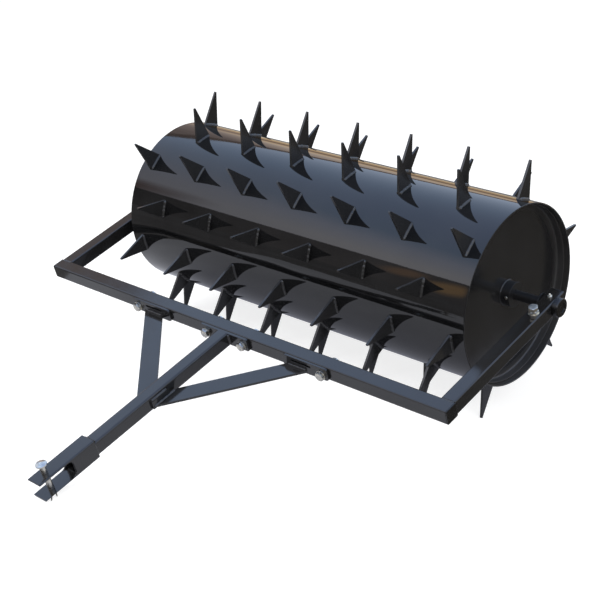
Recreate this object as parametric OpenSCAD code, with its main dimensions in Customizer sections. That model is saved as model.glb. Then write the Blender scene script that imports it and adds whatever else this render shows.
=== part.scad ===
// Tow behind spike aerator, parked: the drum stands on two rows of spikes and the drawbar lies on
// its hitch pin. X runs along the drum, the drawbar points to -Y and +Z is up. The origin is on
// the ground below the middle of the whole tool.

/* [Drum] */
// Length of the drum shell
drum_len = 914; // [760:1:1000]
// Outer diameter of the drum shell
drum_d = 364; // [320:1:420]
// Sheet thickness of the drum shell
drum_wall = 3; // [2:0.5:4]
// Depth of each head's face inside the shell's rim
head_recess = 28; // [20:1:40]
// Sheet thickness of the pressed heads
head_wall = 3; // [2:0.5:4]
// Outer bend radius between a head's face and its flange
head_bend = 7; // [5:0.5:10]
// Depth of the flange's free edge inside the rim
head_edge_depth = 12; // [6:1:14]
// Outer diameter of the hub bosses
boss_d = 50; // [40:1:70]
// Length of boss that stands out of a head's face
boss_out = 20; // [12:1:26]
// Length of boss inside the drum
boss_in = 14; // [8:1:30]
// Diameter of the boss set screws
boss_screw_d = 6; // [4:0.5:8]
// Height of a boss set screw above the boss
boss_screw_h = 1; // [0.5:0.25:3]
// Width across flats of a boss set screw's socket
boss_socket_af = 3; // [2:0.5:3.5]
// Depth of a boss set screw's socket
boss_socket_depth = 3; // [2:0.5:5]

/* [Spikes] */
// Number of spikes in a full row; the rows between hold one less
row_spikes = 7; // [5:1:8]
// Distance from the drum's rim to the middle of the first spike of a full row
spike_margin = 32.5; // [20:0.5:50]
// Height of a spike above the drum
spike_h = 75; // [50:1:90]
// Width of a spike at its base
spike_base = 40; // [30:1:50]
// Width of the blunt tip
spike_tip = 3; // [2:0.5:8]
// Plate thickness of a spike
spike_t = 5; // [3:0.5:8]
// Leg length of the weld fillets at a spike's foot
weld_leg = 3; // [1.5:0.5:4]

/* [Axle] */
// Diameter of the drum's axle
axle_d = 20; // [16:0.5:22]
// Radial running clearance of the axle in its bearing blocks
axle_play = 0.05; // [0.03:0.01:0.08]
// Radial clearance of the axle in the arm walls
axle_wall_gap = 1.5; // [1:0.5:3]
// Diameter of the axle caps
cap_d = 38; // [30:1:44]
// Length of an axle cap
cap_len = 12; // [9:0.5:16]
// Thickness of an axle cap's closed face
cap_face = 3; // [2:0.5:4]
// Edge round of an axle cap
cap_round = 3; // [1:0.5:4]
// Diameter of the dish in an axle cap's face
cap_dish_d = 20; // [12:1:22]
// Depth of the dish in an axle cap's face
cap_dish = 1.5; // [0.5:0.25:1.5]
// Side play between the arms and what turns beside them
side_play = 0.4; // [0.3:0.1:0.8]
// Diameter of the thrust washers
thrust_d = 38; // [30:1:46]
// Thickness of the thrust washers
thrust_t = 3; // [2:0.5:5]

/* [Frame] */
// Outer width of the square tubes
tube_w = 30; // [28:0.5:36]
// Wall of the square tubes
tube_wall = 2.5; // [2:0.5:3]
// Outer corner radius of the square tubes
tube_corner = 3; // [2.5:0.5:5]
// Distance across the outer faces of the side arms
frame_w = 1078; // [1060:1:1140]
// How far each end of the front bar, with its cap, stands past the arm's outer face
bar_over = 2; // [0:0.5:10]
// Distance from the axle to the front bar's front face
bar_reach = 356; // [330:1:420]
// Length of arm behind the axle
arm_tail = 28; // [22:1:50]
// Thickness of the plug caps on the tube ends
plug_face = 2.5; // [1.5:0.5:4]
// Length of a plug inside its tube
plug_len = 14; // [8:1:20]
// Wall of a plug
plug_wall = 2; // [1.5:0.5:3]
// Clearance of what slides into a tube
tube_fit = 0.1; // [0.05:0.05:0.3]
// Length of a bearing block ahead of the axle
block_front = 70; // [60:1:90]
// Length of a bearing block behind the axle
block_back = 13; // [12.5:0.5:14]

/* [Set bolts] */
// Distance of the arm set bolts ahead of the axle
set_reach = 52; // [35:1:60]
// Shank that shows between the jam nut and the head
set_neck = 2; // [1:0.5:5]
// Depth of a set bolt in its bearing block
set_depth = 16; // [10:1:20]
// Distance of the grease fittings behind the axle
zerk_back = 4; // [0:0.5:6]
// Height of a grease fitting above the arm
zerk_h = 8; // [6:0.5:10]
// Diameter of a grease fitting's stem
zerk_d = 5; // [4:0.5:6]
// Width across flats of a grease fitting's hex
zerk_af = 8; // [7:0.5:9]
// Height of a grease fitting's hex
zerk_hex_h = 2.8; // [2:0.1:3]
// Diameter of a grease fitting's ball head
zerk_ball = 4.5; // [3:0.5:5]
// Gap between a grease fitting's stem and the axle
zerk_gap = 0.5; // [0.3:0.1:2]

/* [Fasteners] */
// Shank diameter of the hex bolts
bolt_d = 10; // [8:1:12]
// Width across flats of heads and nuts
hex_af = 17; // [15:0.5:19]
// Height of a bolt head
head_h = 6.4; // [5:0.1:8]
// Height of a nut
nut_h = 8; // [6:0.5:10]
// Height of a jam nut
jam_h = 5; // [4:0.5:6]
// Outer diameter of the washers
washer_d = 21; // [20:0.5:25]
// Thickness of the washers
washer_t = 2; // [1:0.5:3]
// Bolt length that stands out of its nut
bolt_tail = 3; // [1:0.5:6]
// Radial clearance of a bolt in its hole
bolt_gap = 0.25; // [0.1:0.05:0.5]
// How far the bolts of the bar stand below the tubes' middle
bolt_drop = 3; // [0:0.5:3.5]

/* [Tongue] */
// Distance from the axle to the free end of the tongue tube
tongue_reach = 775; // [700:1:900]
// Outer corner radius of the tongue tube
tongue_corner = 4.5; // [2.5:0.5:5]
// Width of the flange plate at the tongue's foot
flange_w = 130; // [124:1:140]
// Height of the flange plate
flange_h = 28; // [24:1:30]
// Thickness of the flange plate
flange_t = 6; // [4:0.5:8]
// Distance between the two flange bolts
flange_pitch = 100; // [84:1:106]

/* [Braces] */
// Width of the flat brace bars
brace_w = 38; // [30:1:45]
// Thickness of the brace bars and tabs
brace_t = 5; // [4:0.5:6]
// Height of a brace's top face against the middle of the tubes
brace_top = -6; // [-8:0.5:-4]
// Distance of the right brace's middle from the tongue's middle, at the bar
spread_right = 193; // [180:1:230]
// Distance of the left brace's middle from the tongue's middle, at the bar
spread_left = 210; // [180:1:230]
// Distance from the axle to the right brace's middle at the tongue
reach_right = 545; // [500:1:600]
// Distance from the axle to the left brace's middle at the tongue
reach_left = 562; // [500:1:600]
// Height of the tabs on the bar
tab_h = 28; // [24:1:30]
// Nearest place of a bar tab to the tongue's middle
tab_near = 158; // [130:1:160]
// Farthest place of a bar tab from the tongue's middle
tab_far = 271; // [268:1:300]
// Distance of a tab bolt from the tongue's middle
tab_bolt = 255; // [250:1:256]
// Length of the slot in a bar tab
slot_len = 50; // [30:1:54]
// Width of the slot in a bar tab
slot_w = 5; // [4:0.5:7]
// Middle of the slot, from the tongue's middle
slot_mid = 205; // [195:1:210]
// Height of the slot's middle above the tubes' middle
slot_h = 5.5; // [3:0.5:6]
// Corner radius of the bar tabs
tab_corner = 6; // [3:1:10]
// Height of the foot of a brace along the tongue, above the brace
foot_h = 12; // [5:0.5:14]
// Length of the foot of a brace along the tongue
foot_len = 45; // [40:1:80]
// Distance of the foot's middle ahead of the brace's middle
foot_ahead = 13; // [0:1:16]

/* [Clevis] */
// Wall of the clevis sleeve and its ears
clevis_wall = 3; // [2.5:0.5:4]
// Outer corner radius of the clevis sleeve
clevis_corner = 3.5; // [3:0.5:5]
// Length of tongue inside the sleeve
clevis_grip = 54; // [40:1:90]
// Clear height inside the sleeve and between the ears; the tongue lies on its floor
clevis_clear = 35; // [32:0.5:40]
// Length of the ears in front of the tongue
ear_len = 77; // [70:1:100]
// Radius of the cut at the root of the ears
ear_root = 10; // [4:1:14]

/* [Hitch pin] */
// Diameter of the hitch pin
pin_d = 12; // [10:0.5:13]
// Radial clearance of the pin in the ears
pin_gap = 0.25; // [0.2:0.05:0.4]
// Distance of the pin ahead of the tongue's free end
pin_ahead = 50; // [42:1:52]
// Travel of the pin between its clip and its head
pin_travel = 19; // [12:1:24]
// Length of pin below the lower ear when it stands on the ground
pin_below = 9; // [8.5:0.5:12]
// Diameter of the pin's head
pin_head_d = 22; // [18:0.5:26]
// Straight height of the pin's head, below its dome
pin_head_rim = 2.5; // [2:0.5:6]
// Height of the dome on the pin's head
pin_dome = 2.5; // [1:0.5:6]
// Chamfer of the pin's lower end
pin_chamfer = 1.5; // [0.5:0.25:2]
// Wire diameter of the pin clip
clip_wire = 2.6; // [2:0.1:3]
// Radial clearance of the clip in the pin's cross hole
clip_play = 0.1; // [0.05:0.05:0.2]
// Gap between the clip and the lower ear when the pin is pushed up
clip_gap = 0.3; // [0.2:0.1:1]
// Gap between the clip's outer leg and the pin
clip_side_gap = 0.35; // [0.3:0.05:1]
// Direction of the clip, from the drum's axis towards the tongue's front
clip_turn = 42; // [20:1:70]
// Length of the clip's inner leg ahead of the pin's middle
clip_ahead = 28; // [18:1:30]
// Length of the clip's straight legs behind the pin's middle
clip_behind = 14; // [10:1:24]
// Angle through which the outer leg's tip curves away from the pin
clip_flare = 20; // [10:1:40]
// Bend radius of the outer leg's tip, at the wire's middle
clip_bend = 40; // [25:1:45]

/* [Hidden] */
$fn = 64;
fine = 180;
tiny = 0.01;

// Drum; the rows are as many as the spike_row nodes
row_count = 12;
drum_r = drum_d / 2;
shell_in = drum_r - drum_wall;
row_step = 360 / row_count;
stance = row_step / 2;
spike_pitch = (drum_len - 2 * spike_margin) / (row_spikes - 1);
tip_r = drum_r + spike_h;
axle_r = axle_d / 2;
boss_end = drum_len / 2 - head_recess + boss_out;
boss_screw_x = boss_end - boss_screw_d;

// Frame, in its own plane: x across, s ahead of the axle, h above the tubes' middle
half = tube_w / 2;
tube_in = tube_w - 2 * tube_wall;
arm_x = frame_w / 2 - half;
bar_s = bar_reach - half;
bar_back = bar_reach - tube_w;
bar_len = frame_w + 2 * bar_over - 2 * plug_face;
block_w = tube_in - 2 * tube_fit;
tongue_foot = bar_reach + flange_t;
clevis_w = tube_w + 2 * clevis_wall;
clevis_h = clevis_clear + 2 * clevis_wall;
ear_bottom = -half - clevis_wall;
ear_top = ear_bottom + clevis_h;
jaw_mid = (ear_top + ear_bottom) / 2;
clevis_tip = tongue_reach + ear_len;
pin_s = tongue_reach + pin_ahead;
hole_d = bolt_d + 2 * bolt_gap;
least_corner = 0.5;
plug_corner = max(tube_corner - tube_wall, least_corner);

// Bolts through the front bar, and the plate that each one's head stands on
bolt_places = [-tab_bolt, -flange_pitch / 2, flange_pitch / 2, tab_bolt];
function plate_at(x) = abs(x) > flange_w / 2 ? brace_t : flange_t;

// Hitch pin and clip heights
clip_h = ear_bottom - clip_gap - clip_wire / 2;
pin_low = ear_bottom - pin_below;
pin_head_h = ear_top + pin_travel;
clip_side = pin_d / 2 + clip_side_gap + clip_wire / 2;

// Standing place: the axle's height over two rows of tips, and the pitch that lays the pin down
axle_h = tip_r * cos(stance) + spike_tip / 2 * sin(stance);
pin_touch = pin_s + pin_d / 2 - pin_chamfer;
pitch = asin(axle_h / norm([pin_touch, pin_low])) - atan2(-pin_low, pin_touch);
row_angles = [for (k = [0 : row_count - 1]) stance + k * row_step];
rear_reach = max([for (a = row_angles) tip_r * sin(a) + spike_tip / 2 * abs(cos(a))]);
front_reach = clevis_tip * cos(pitch) + ear_top * sin(pitch);
axle_y = (front_reach - rear_reach) / 2;

black = [0.07, 0.075, 0.09];
zinc = [0.78, 0.79, 0.8];
plastic = [0.04, 0.04, 0.045];

// Puts children drawn round a Z axis onto the drum's axis; angle 0 is at the top, turning forwards
module on_drum(angle = 0)
    translate([0, axle_y, axle_h])
        rotate([0, 90, 0])
            rotate([0, 0, angle + 180])
                children();

// Puts children drawn in the frame's plane (x across, -y ahead, z up) into the parked pitch
module on_frame()
    translate([0, axle_y, axle_h])
        rotate([pitch, 0, 0])
            children();

// Places children at x, s ahead of the axle and h above the tubes' middle
module at(x, s, h)
    translate([x, -s, h])
        children();

module both_sides()
    for (side = [-1, 1])
        scale_x(side)
            children();

module scale_x(side)
    if (side < 0)
        mirror([1, 0, 0]) children();
    else
        children();

module rounded_rect(w, h, r) {
    square([w - 2 * r, h], center = true);
    square([w, h - 2 * r], center = true);
    for (x = [-1, 1], y = [-1, 1])
        translate([x * (w / 2 - r), y * (h / 2 - r)])
            circle(r);
}

module tube_section(w, h, wall, corner)
    difference() {
        rounded_rect(w, h, corner);
        rounded_rect(w - 2 * wall, h - 2 * wall, max(corner - wall, least_corner));
    }

module ring(outer, inner, h)
    difference() {
        cylinder(d = outer, h = h);
        translate([0, 0, -1])
            cylinder(d = inner, h = h + 2);
    }

module hex(af, h)
    cylinder(d = af / cos(30), h = h, $fn = 6);

module hex_nut(h)
    difference() {
        hex(hex_af, h);
        translate([0, 0, -1])
            cylinder(d = bolt_d, h = h + 2);
    }

// A hex bolt whose shank runs down -Z from the underside of its head
module hex_bolt(shank) {
    hex(hex_af, head_h);
    translate([0, 0, -shank])
        cylinder(d = bolt_d, h = shank + tiny);
}

// Drum

module drum_shell()
    color(black)
        on_drum()
            translate([0, 0, -drum_len / 2])
                difference() {
                    cylinder(r = drum_r, h = drum_len, $fn = fine);
                    translate([0, 0, -1])
                        cylinder(r = shell_in, h = drum_len + 2, $fn = fine);
                }

// Radius against depth inside the rim: a face, a quarter bend and a flange along the shell
module head_profile() {
    inside = head_recess + head_wall;
    translate([boss_d / 2, head_recess])
        square([shell_in - head_bend - boss_d / 2, head_wall]);
    translate([shell_in - head_bend, inside - head_bend])
        intersection() {
            difference() {
                circle(head_bend);
                circle(head_bend - head_wall);
            }
            square(head_bend);
        }
    translate([shell_in - head_wall, head_edge_depth])
        square([head_wall, inside - head_bend - head_edge_depth]);
}

module drum_head()
    color(black)
        on_drum()
            translate([0, 0, drum_len / 2])
                mirror([0, 0, 1])
                    rotate_extrude($fn = fine)
                        head_profile();

module hub_boss()
    color(black)
        on_drum(90)
            translate([0, 0, drum_len / 2 - head_recess - head_wall - boss_in])
                difference() {
                    ring(boss_d, axle_d, head_wall + boss_in + boss_out);
                    translate([0, 0, boss_screw_x - drum_len / 2 + head_recess + head_wall + boss_in])
                        rotate([0, 90, 0])
                            cylinder(d = boss_screw_d, h = boss_d);
                }

module hub_set_screws() {
    screw_len = boss_d / 2 - axle_r + boss_screw_h;
    color(zinc)
        both_sides()
            on_drum(90)
                translate([axle_r, 0, boss_screw_x])
                    rotate([0, 90, 0])
                        difference() {
                            cylinder(d = boss_screw_d, h = screw_len);
                            translate([0, 0, screw_len - boss_socket_depth])
                                hex(boss_socket_af, boss_socket_depth + 1);
                        }
}

module drum_axle() {
    reach = frame_w / 2 + side_play + cap_len - cap_face;
    color(black)
        on_drum()
            translate([0, 0, -reach])
                cylinder(d = axle_d, h = 2 * reach);
}

module axle_cap()
    color(plastic)
        on_drum()
            translate([0, 0, frame_w / 2 + side_play])
                rotate_extrude()
                    difference() {
                        union() {
                            square([cap_d / 2, cap_len - cap_round]);
                            square([cap_d / 2 - cap_round, cap_len]);
                            translate([cap_d / 2 - cap_round, cap_len - cap_round])
                                circle(cap_round);
                        }
                        translate([-cap_d, -1])
                            square([cap_d + axle_r, cap_len - cap_face + 1]);
                        translate([-cap_d, cap_len - cap_dish])
                            square([cap_d + cap_dish_d / 2, cap_dish + 1]);
                        translate([-cap_d, -1])
                            square([cap_d, cap_len + 2]);
                    }

module thrust_washers()
    color(black)
        both_sides()
            on_drum()
                translate([0, 0, frame_w / 2 - tube_w - side_play - thrust_t])
                    ring(thrust_d, axle_d, thrust_t);

// Spikes

// Outline across the axle: a blunt triangle whose foot follows the drum
module spike_outline() {
    foot = sqrt(drum_r * drum_r - spike_base * spike_base / 4);
    difference() {
        polygon([
            [foot, -spike_base / 2], [tip_r, -spike_tip / 2],
            [tip_r, spike_tip / 2], [foot, spike_base / 2]
        ]);
        circle(drum_r, $fn = fine);
    }
}

// Weld fillets on both faces of a spike's foot, as a stretch of ring round the drum
module spike_weld() {
    spread = 2 * asin(spike_base / drum_d);
    rotate([0, 0, -spread / 2])
        rotate_extrude(angle = spread, $fn = fine)
            polygon([
                [drum_r, -spike_t / 2 - weld_leg], [drum_r, spike_t / 2 + weld_leg],
                [drum_r + weld_leg, spike_t / 2], [drum_r + weld_leg, -spike_t / 2]
            ]);
}

module spike() {
    translate([0, 0, -spike_t / 2])
        linear_extrude(spike_t)
            spike_outline();
    spike_weld();
}

// Rows stand between the ones that touch the ground; every second row is a full one
module spike_row(k) {
    count = row_spikes - (k % 2 == 0 ? 1 : 0);
    color(black)
        on_drum(row_angles[k])
            for (i = [0 : count - 1])
                translate([0, 0, (i - (count - 1) / 2) * spike_pitch])
                    spike();
}

// Frame tubes

module front_bar()
    color(black)
        on_frame()
            difference() {
                at(-bar_len / 2, bar_s, 0)
                    rotate([0, 90, 0])
                        linear_extrude(bar_len)
                            tube_section(tube_w, tube_w, tube_wall, tube_corner);
                for (x = bolt_places)
                    at(x, bar_back - 1, -bolt_drop)
                        rotate([90, 0, 0])
                            cylinder(d = hole_d, h = tube_w + 2);
            }

// A side arm with the axle's cross hole and the holes of the set bolt and the grease fitting
module side_arm()
    color(black)
        on_frame()
            difference() {
                at(arm_x, -arm_tail, 0)
                    rotate([90, 0, 0])
                        linear_extrude(bar_back + arm_tail)
                            tube_section(tube_w, tube_w, tube_wall, tube_corner);
                at(arm_x - tube_w, 0, 0)
                    rotate([0, 90, 0])
                        cylinder(r = axle_r + axle_wall_gap, h = 2 * tube_w);
                at(arm_x, set_reach, 0)
                    cylinder(d = hole_d, h = tube_w);
                at(arm_x, -zerk_back, 0)
                    cylinder(d = zerk_d + 2 * bolt_gap, h = tube_w);
            }

// A plug cap: a face as wide as the tube and a hollow stem inside it, along +Z
module plug(stem) {
    translate([0, 0, -plug_face])
        linear_extrude(plug_face)
            rounded_rect(tube_w, tube_w, tube_corner);
    linear_extrude(stem)
        tube_section(block_w, block_w, plug_wall, plug_corner);
}

module bar_end_cap()
    color(plastic)
        on_frame()
            at(bar_len / 2, bar_s, 0)
                rotate([0, -90, 0])
                    plug(plug_len);

// The arm's plug stops short of the bearing block
module arm_end_cap()
    color(plastic)
        on_frame()
            at(arm_x, -arm_tail, 0)
                rotate([90, 0, 0])
                    plug(min(plug_len, arm_tail - block_back - 1));

// A block that fills the arm's end, bored for the axle and drilled for the set bolt
module bearing_block()
    color([0.85, 0.84, 0.8])
        on_frame()
            difference() {
                at(arm_x, -block_back, 0)
                    rotate([90, 0, 0])
                        linear_extrude(block_front + block_back)
                            square(block_w, center = true);
                at(arm_x - tube_w, 0, 0)
                    rotate([0, 90, 0])
                        cylinder(r = axle_r + axle_play, h = 2 * tube_w);
                at(arm_x, set_reach, tube_in / 2 - set_depth)
                    cylinder(d = bolt_d, h = tube_w);
                at(arm_x, -zerk_back, 0)
                    cylinder(d = zerk_d, h = tube_w);
            }

// Small fasteners

module set_bolts()
    color(zinc)
        both_sides()
            on_frame()
                at(arm_x, set_reach, half + washer_t + jam_h + set_neck)
                    hex_bolt(washer_t + jam_h + set_neck + tube_wall + set_depth);

module set_bolt_jam_nuts()
    color(zinc)
        both_sides()
            on_frame()
                at(arm_x, set_reach, half + washer_t)
                    hex_nut(jam_h);

module set_bolt_washers()
    color(zinc)
        both_sides()
            on_frame()
                at(arm_x, set_reach, half)
                    ring(washer_d, bolt_d, washer_t);

// A stem through the arm's wall, a hex and a ball head
module grease_fittings() {
    stem_low = axle_r + zerk_gap;
    neck_low = half + zerk_h / 2;
    color(zinc)
        both_sides()
            on_frame()
                at(arm_x, -zerk_back, 0) {
                    translate([0, 0, stem_low])
                        cylinder(d = zerk_d, h = neck_low - stem_low);
                    translate([0, 0, half])
                        hex(zerk_af, zerk_hex_h);
                    translate([0, 0, neck_low - tiny])
                        cylinder(d = zerk_ball / 2, h = zerk_h / 2 - zerk_ball / 2);
                    translate([0, 0, half + zerk_h - zerk_ball / 2])
                        sphere(d = zerk_ball);
                }
}

// Washer and head stand on the plate ahead of the bar, washer and nut behind the bar
module bar_bolts()
    color(zinc)
        on_frame()
            for (x = bolt_places)
                at(x, bar_reach + plate_at(x) + washer_t, -bolt_drop)
                    rotate([90, 0, 0])
                        hex_bolt(plate_at(x) + tube_w + 2 * washer_t + nut_h + bolt_tail);

module bar_bolt_washers()
    color(zinc)
        on_frame()
            for (x = bolt_places) {
                at(x, bar_reach + plate_at(x), -bolt_drop)
                    rotate([90, 0, 0])
                        ring(washer_d, bolt_d, washer_t);
                at(x, bar_back - washer_t, -bolt_drop)
                    rotate([90, 0, 0])
                        ring(washer_d, bolt_d, washer_t);
            }

module bar_bolt_nuts()
    color(zinc)
        on_frame()
            for (x = bolt_places)
                at(x, bar_back - washer_t - nut_h, -bolt_drop)
                    rotate([90, 0, 0])
                        hex_nut(nut_h);

// Tongue

module tongue_tube()
    color(black)
        on_frame()
            at(0, tongue_foot, 0)
                rotate([90, 0, 0])
                    linear_extrude(tongue_reach - tongue_foot)
                        tube_section(tube_w, tube_w, tube_wall, tongue_corner);

module tongue_flange()
    color(black)
        on_frame()
            difference() {
                at(0, bar_reach, 0)
                    rotate([90, 0, 0])
                        linear_extrude(flange_t)
                            rounded_rect(flange_w, flange_h, tab_corner / 2);
                for (x = [-1, 1])
                    at(x * flange_pitch / 2, bar_reach - 1, -bolt_drop)
                        rotate([90, 0, 0])
                            cylinder(d = hole_d, h = flange_t + 2);
            }

// Braces

// The flat bar from the tab on the front bar to the foot on the tongue's side
module brace_bar(spread, reach) {
    rear_s = bar_reach + brace_t;
    front_x = half + brace_t;
    run = reach - rear_s;
    rise = spread - front_x;
    lean = atan2(run, rise);
    rear_w = brace_w / sin(lean) / 2;
    front_w = brace_w / cos(lean) / 2;
    translate([0, 0, brace_top - brace_t])
        linear_extrude(brace_t)
            polygon([
                [spread - rear_w, -rear_s + tiny], [spread + rear_w, -rear_s + tiny],
                [front_x - tiny, -reach - front_w], [front_x - tiny, -reach + front_w]
            ]);
}

// The upright tab on the bar, with its slot and its bolt hole
module brace_tab()
    at((tab_near + tab_far) / 2, bar_reach, 0)
        rotate([90, 0, 0])
            linear_extrude(brace_t)
                difference() {
                    rounded_rect(tab_far - tab_near, tab_h, tab_corner);
                    translate([tab_bolt - (tab_near + tab_far) / 2, -bolt_drop])
                        circle(d = hole_d);
                    translate([slot_mid - (tab_near + tab_far) / 2, slot_h]) {
                        square([slot_len - slot_w, slot_w], center = true);
                        for (end = [-1, 1])
                            translate([end * (slot_len - slot_w) / 2, 0])
                                circle(d = slot_w);
                    }
                }

module brace_foot(reach)
    at(half, reach + foot_ahead + foot_len / 2, brace_top - brace_t)
        cube([brace_t, foot_len, brace_t + foot_h]);

module brace(spread, reach)
    color(black)
        on_frame() {
            brace_bar(spread, reach);
            brace_tab();
            brace_foot(reach);
        }

// Clevis, pin and clip

// A square sleeve whose side walls are cut away in front of the tongue, which leaves two ears
module clevis()
    color(black)
        on_frame()
            difference() {
                at(0, tongue_reach - clevis_grip, jaw_mid)
                    rotate([90, 0, 0])
                        linear_extrude(clevis_grip + ear_len)
                            tube_section(clevis_w, clevis_h, clevis_wall, clevis_corner);
                at(-clevis_w, 0, jaw_mid)
                    rotate([90, 0, 90])
                        linear_extrude(2 * clevis_w)
                            ear_cut();
                at(0, pin_s, ear_bottom - 1)
                    cylinder(d = pin_d + 2 * pin_gap, h = clevis_h + 2);
            }

// Side view of the cut between the ears, round at its root
module ear_cut() {
    translate([-clevis_tip - 1, -clevis_clear / 2])
        square([ear_len + 1 - ear_root, clevis_clear]);
    translate([-clevis_tip - 1, -clevis_clear / 2 + ear_root])
        square([ear_len + 1, clevis_clear - 2 * ear_root]);
    for (up = [-1, 1])
        translate([-tongue_reach - ear_root, up * (clevis_clear / 2 - ear_root)])
            circle(ear_root);
}

// Shank with a chamfered foot, a cross hole for the clip and a domed head
module hitch_pin()
    color(zinc)
        on_frame()
            at(0, pin_s, 0)
                difference() {
                    rotate_extrude()
                        pin_profile();
                    translate([0, 0, clip_h])
                        rotate([0, 90, -clip_turn])
                            cylinder(r = clip_wire / 2 + clip_play, h = 2 * pin_d, center = true);
                }

module pin_profile() {
    shank = pin_d / 2;
    dome_r = (pin_head_d * pin_head_d / 4 + pin_dome * pin_dome) / (2 * pin_dome);
    polygon([
        [0, pin_low], [shank - pin_chamfer, pin_low], [shank, pin_low + pin_chamfer],
        [shank, pin_head_h], [pin_head_d / 2, pin_head_h],
        [pin_head_d / 2, pin_head_h + pin_head_rim], [0, pin_head_h + pin_head_rim]
    ]);
    intersection() {
        translate([0, pin_head_h + pin_head_rim + pin_dome - dome_r])
            circle(dome_r, $fn = fine);
        translate([0, pin_head_h + pin_head_rim - tiny])
            square([pin_head_d / 2, pin_dome + 1]);
    }
}

// A bent wire: one leg through the pin, a bow behind it and a leg beside it with a flared tip
module pin_clip() {
    bow_r = clip_side / 2;
    flare_from = pin_d / 2;
    color(zinc)
        on_frame()
            at(0, pin_s, clip_h)
                rotate([0, 0, -clip_turn]) {
                    translate([-clip_behind, 0, 0])
                        wire(clip_behind + clip_ahead);
                    translate([-clip_behind, bow_r, 0])
                        rotate([0, 0, 90])
                            bent_wire(bow_r, 180);
                    translate([-clip_behind, clip_side, 0])
                        wire(clip_behind + flare_from);
                    translate([flare_from, clip_side + clip_bend, 0])
                        rotate([0, 0, -90])
                            bent_wire(clip_bend, clip_flare);
                }
}

// Straight wire along +X
module wire(reach)
    rotate([0, 90, 0])
        cylinder(d = clip_wire, h = reach);

// Wire bent round the Z axis, from +X through the given angle
module bent_wire(bend_r, angle)
    rotate_extrude(angle = angle)
        translate([bend_r, 0])
            circle(d = clip_wire);

drum_shell();
scale_x(-1) drum_head();  // drum_head_left
drum_head();  // drum_head_right
scale_x(-1) hub_boss();  // hub_boss_left
hub_boss();  // hub_boss_right
hub_set_screws();
drum_axle();
scale_x(-1) axle_cap();  // axle_cap_left
axle_cap();  // axle_cap_right
thrust_washers();
spike_row(0);  // spike_row_01
spike_row(1);  // spike_row_02
spike_row(2);  // spike_row_03
spike_row(3);  // spike_row_04
spike_row(4);  // spike_row_05
spike_row(5);  // spike_row_06
spike_row(6);  // spike_row_07
spike_row(7);  // spike_row_08
spike_row(8);  // spike_row_09
spike_row(9);  // spike_row_10
spike_row(10);  // spike_row_11
spike_row(11);  // spike_row_12
front_bar();
scale_x(-1) side_arm();  // side_arm_left
side_arm();  // side_arm_right
scale_x(-1) bar_end_cap();  // bar_end_cap_left
bar_end_cap();  // bar_end_cap_right
scale_x(-1) arm_end_cap();  // arm_end_cap_left
arm_end_cap();  // arm_end_cap_right
scale_x(-1) bearing_block();  // bearing_block_left
bearing_block();  // bearing_block_right
set_bolts();
set_bolt_jam_nuts();
set_bolt_washers();
grease_fittings();
tongue_tube();
tongue_flange();
bar_bolts();
bar_bolt_washers();
bar_bolt_nuts();
scale_x(-1) brace(spread_left, reach_left);  // brace_left
brace(spread_right, reach_right);  // brace_right
clevis();
hitch_pin();
pin_clip();
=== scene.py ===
from math import cos, exp, pi, radians, sin, sqrt

import bmesh
import bpy
from mathutils import Matrix, Vector, noise


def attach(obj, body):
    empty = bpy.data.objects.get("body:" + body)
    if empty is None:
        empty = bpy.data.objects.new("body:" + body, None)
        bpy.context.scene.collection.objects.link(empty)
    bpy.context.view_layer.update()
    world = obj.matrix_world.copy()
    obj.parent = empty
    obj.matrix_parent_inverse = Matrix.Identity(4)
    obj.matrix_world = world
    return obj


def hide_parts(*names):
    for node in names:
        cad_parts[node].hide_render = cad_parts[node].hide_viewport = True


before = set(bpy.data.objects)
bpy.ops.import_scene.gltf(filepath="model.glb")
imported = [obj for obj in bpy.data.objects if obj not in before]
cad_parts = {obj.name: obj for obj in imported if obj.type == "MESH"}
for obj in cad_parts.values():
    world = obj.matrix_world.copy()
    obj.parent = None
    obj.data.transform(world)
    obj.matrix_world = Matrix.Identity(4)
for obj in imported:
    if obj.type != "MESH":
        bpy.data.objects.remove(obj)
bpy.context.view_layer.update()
scene = bpy.context.scene
scene.view_settings.view_transform = "Standard"

# The CAD's own sizes, in metres and degrees
AXLE = Vector((0, 0.28914211, 0.24863117))
PITCH = 15.56792643
DRUM_R = 0.182
DRUM_L = 0.914
DRUM_WALL = 0.003
HEAD_RECESS = 0.028
HEAD_WALL = 0.003
HEAD_BEND = 0.007
HEAD_EDGE = 0.012
BOSS_R = 0.025
BOSS_OUT = 0.020
BOSS_IN = 0.014
BOSS_SCREW_X = 0.443
SCREW_R = 0.003
SCREW_TOP = BOSS_R + 0.001
SOCKET_AF = 0.003
SOCKET_DEPTH = 0.003
SPIKE_ROWS = 12
SPIKE_PITCH = 0.1415
SPIKE_H = 0.075
SPIKE_BASE = 0.040
SPIKE_TIP = 0.003
SPIKE_T = 0.005
SPIKE_WELD = 0.0036
AXLE_R = 0.010
THRUST_T = 0.003
CAP_R = 0.019
CAP_LEN = 0.012
CAP_FLOOR = 0.003
CAP_DISH = 0.0015
FRAME_W = 1.078
SIDE_PLAY = 0.0004
TUBE = 0.030
HALF = TUBE / 2
TUBE_WALL = 0.0025
TUBE_CORNER = 0.003
TONGUE_CORNER = 0.0045
ARM_X = FRAME_W / 2 - HALF
BAR_REACH = 0.356
BAR_BACK = BAR_REACH - TUBE
BAR_LEN = 1.077
ARM_TAIL = 0.028
PLUG_FACE = 0.0025
PLUG_STEM = TUBE - 2 * TUBE_WALL - 0.0002
BOLT_D = 0.010
BOLT_GAP = 0.00025
BOLT_DROP = 0.003
BOLT_THREAD = 0.014
HEX_AF = 0.017
HEAD_H = 0.0064
NUT_H = 0.008
JAM_H = 0.005
WASHER_D = 0.021
WASHER_T = 0.002
BOLT_TAIL = 0.003
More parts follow.
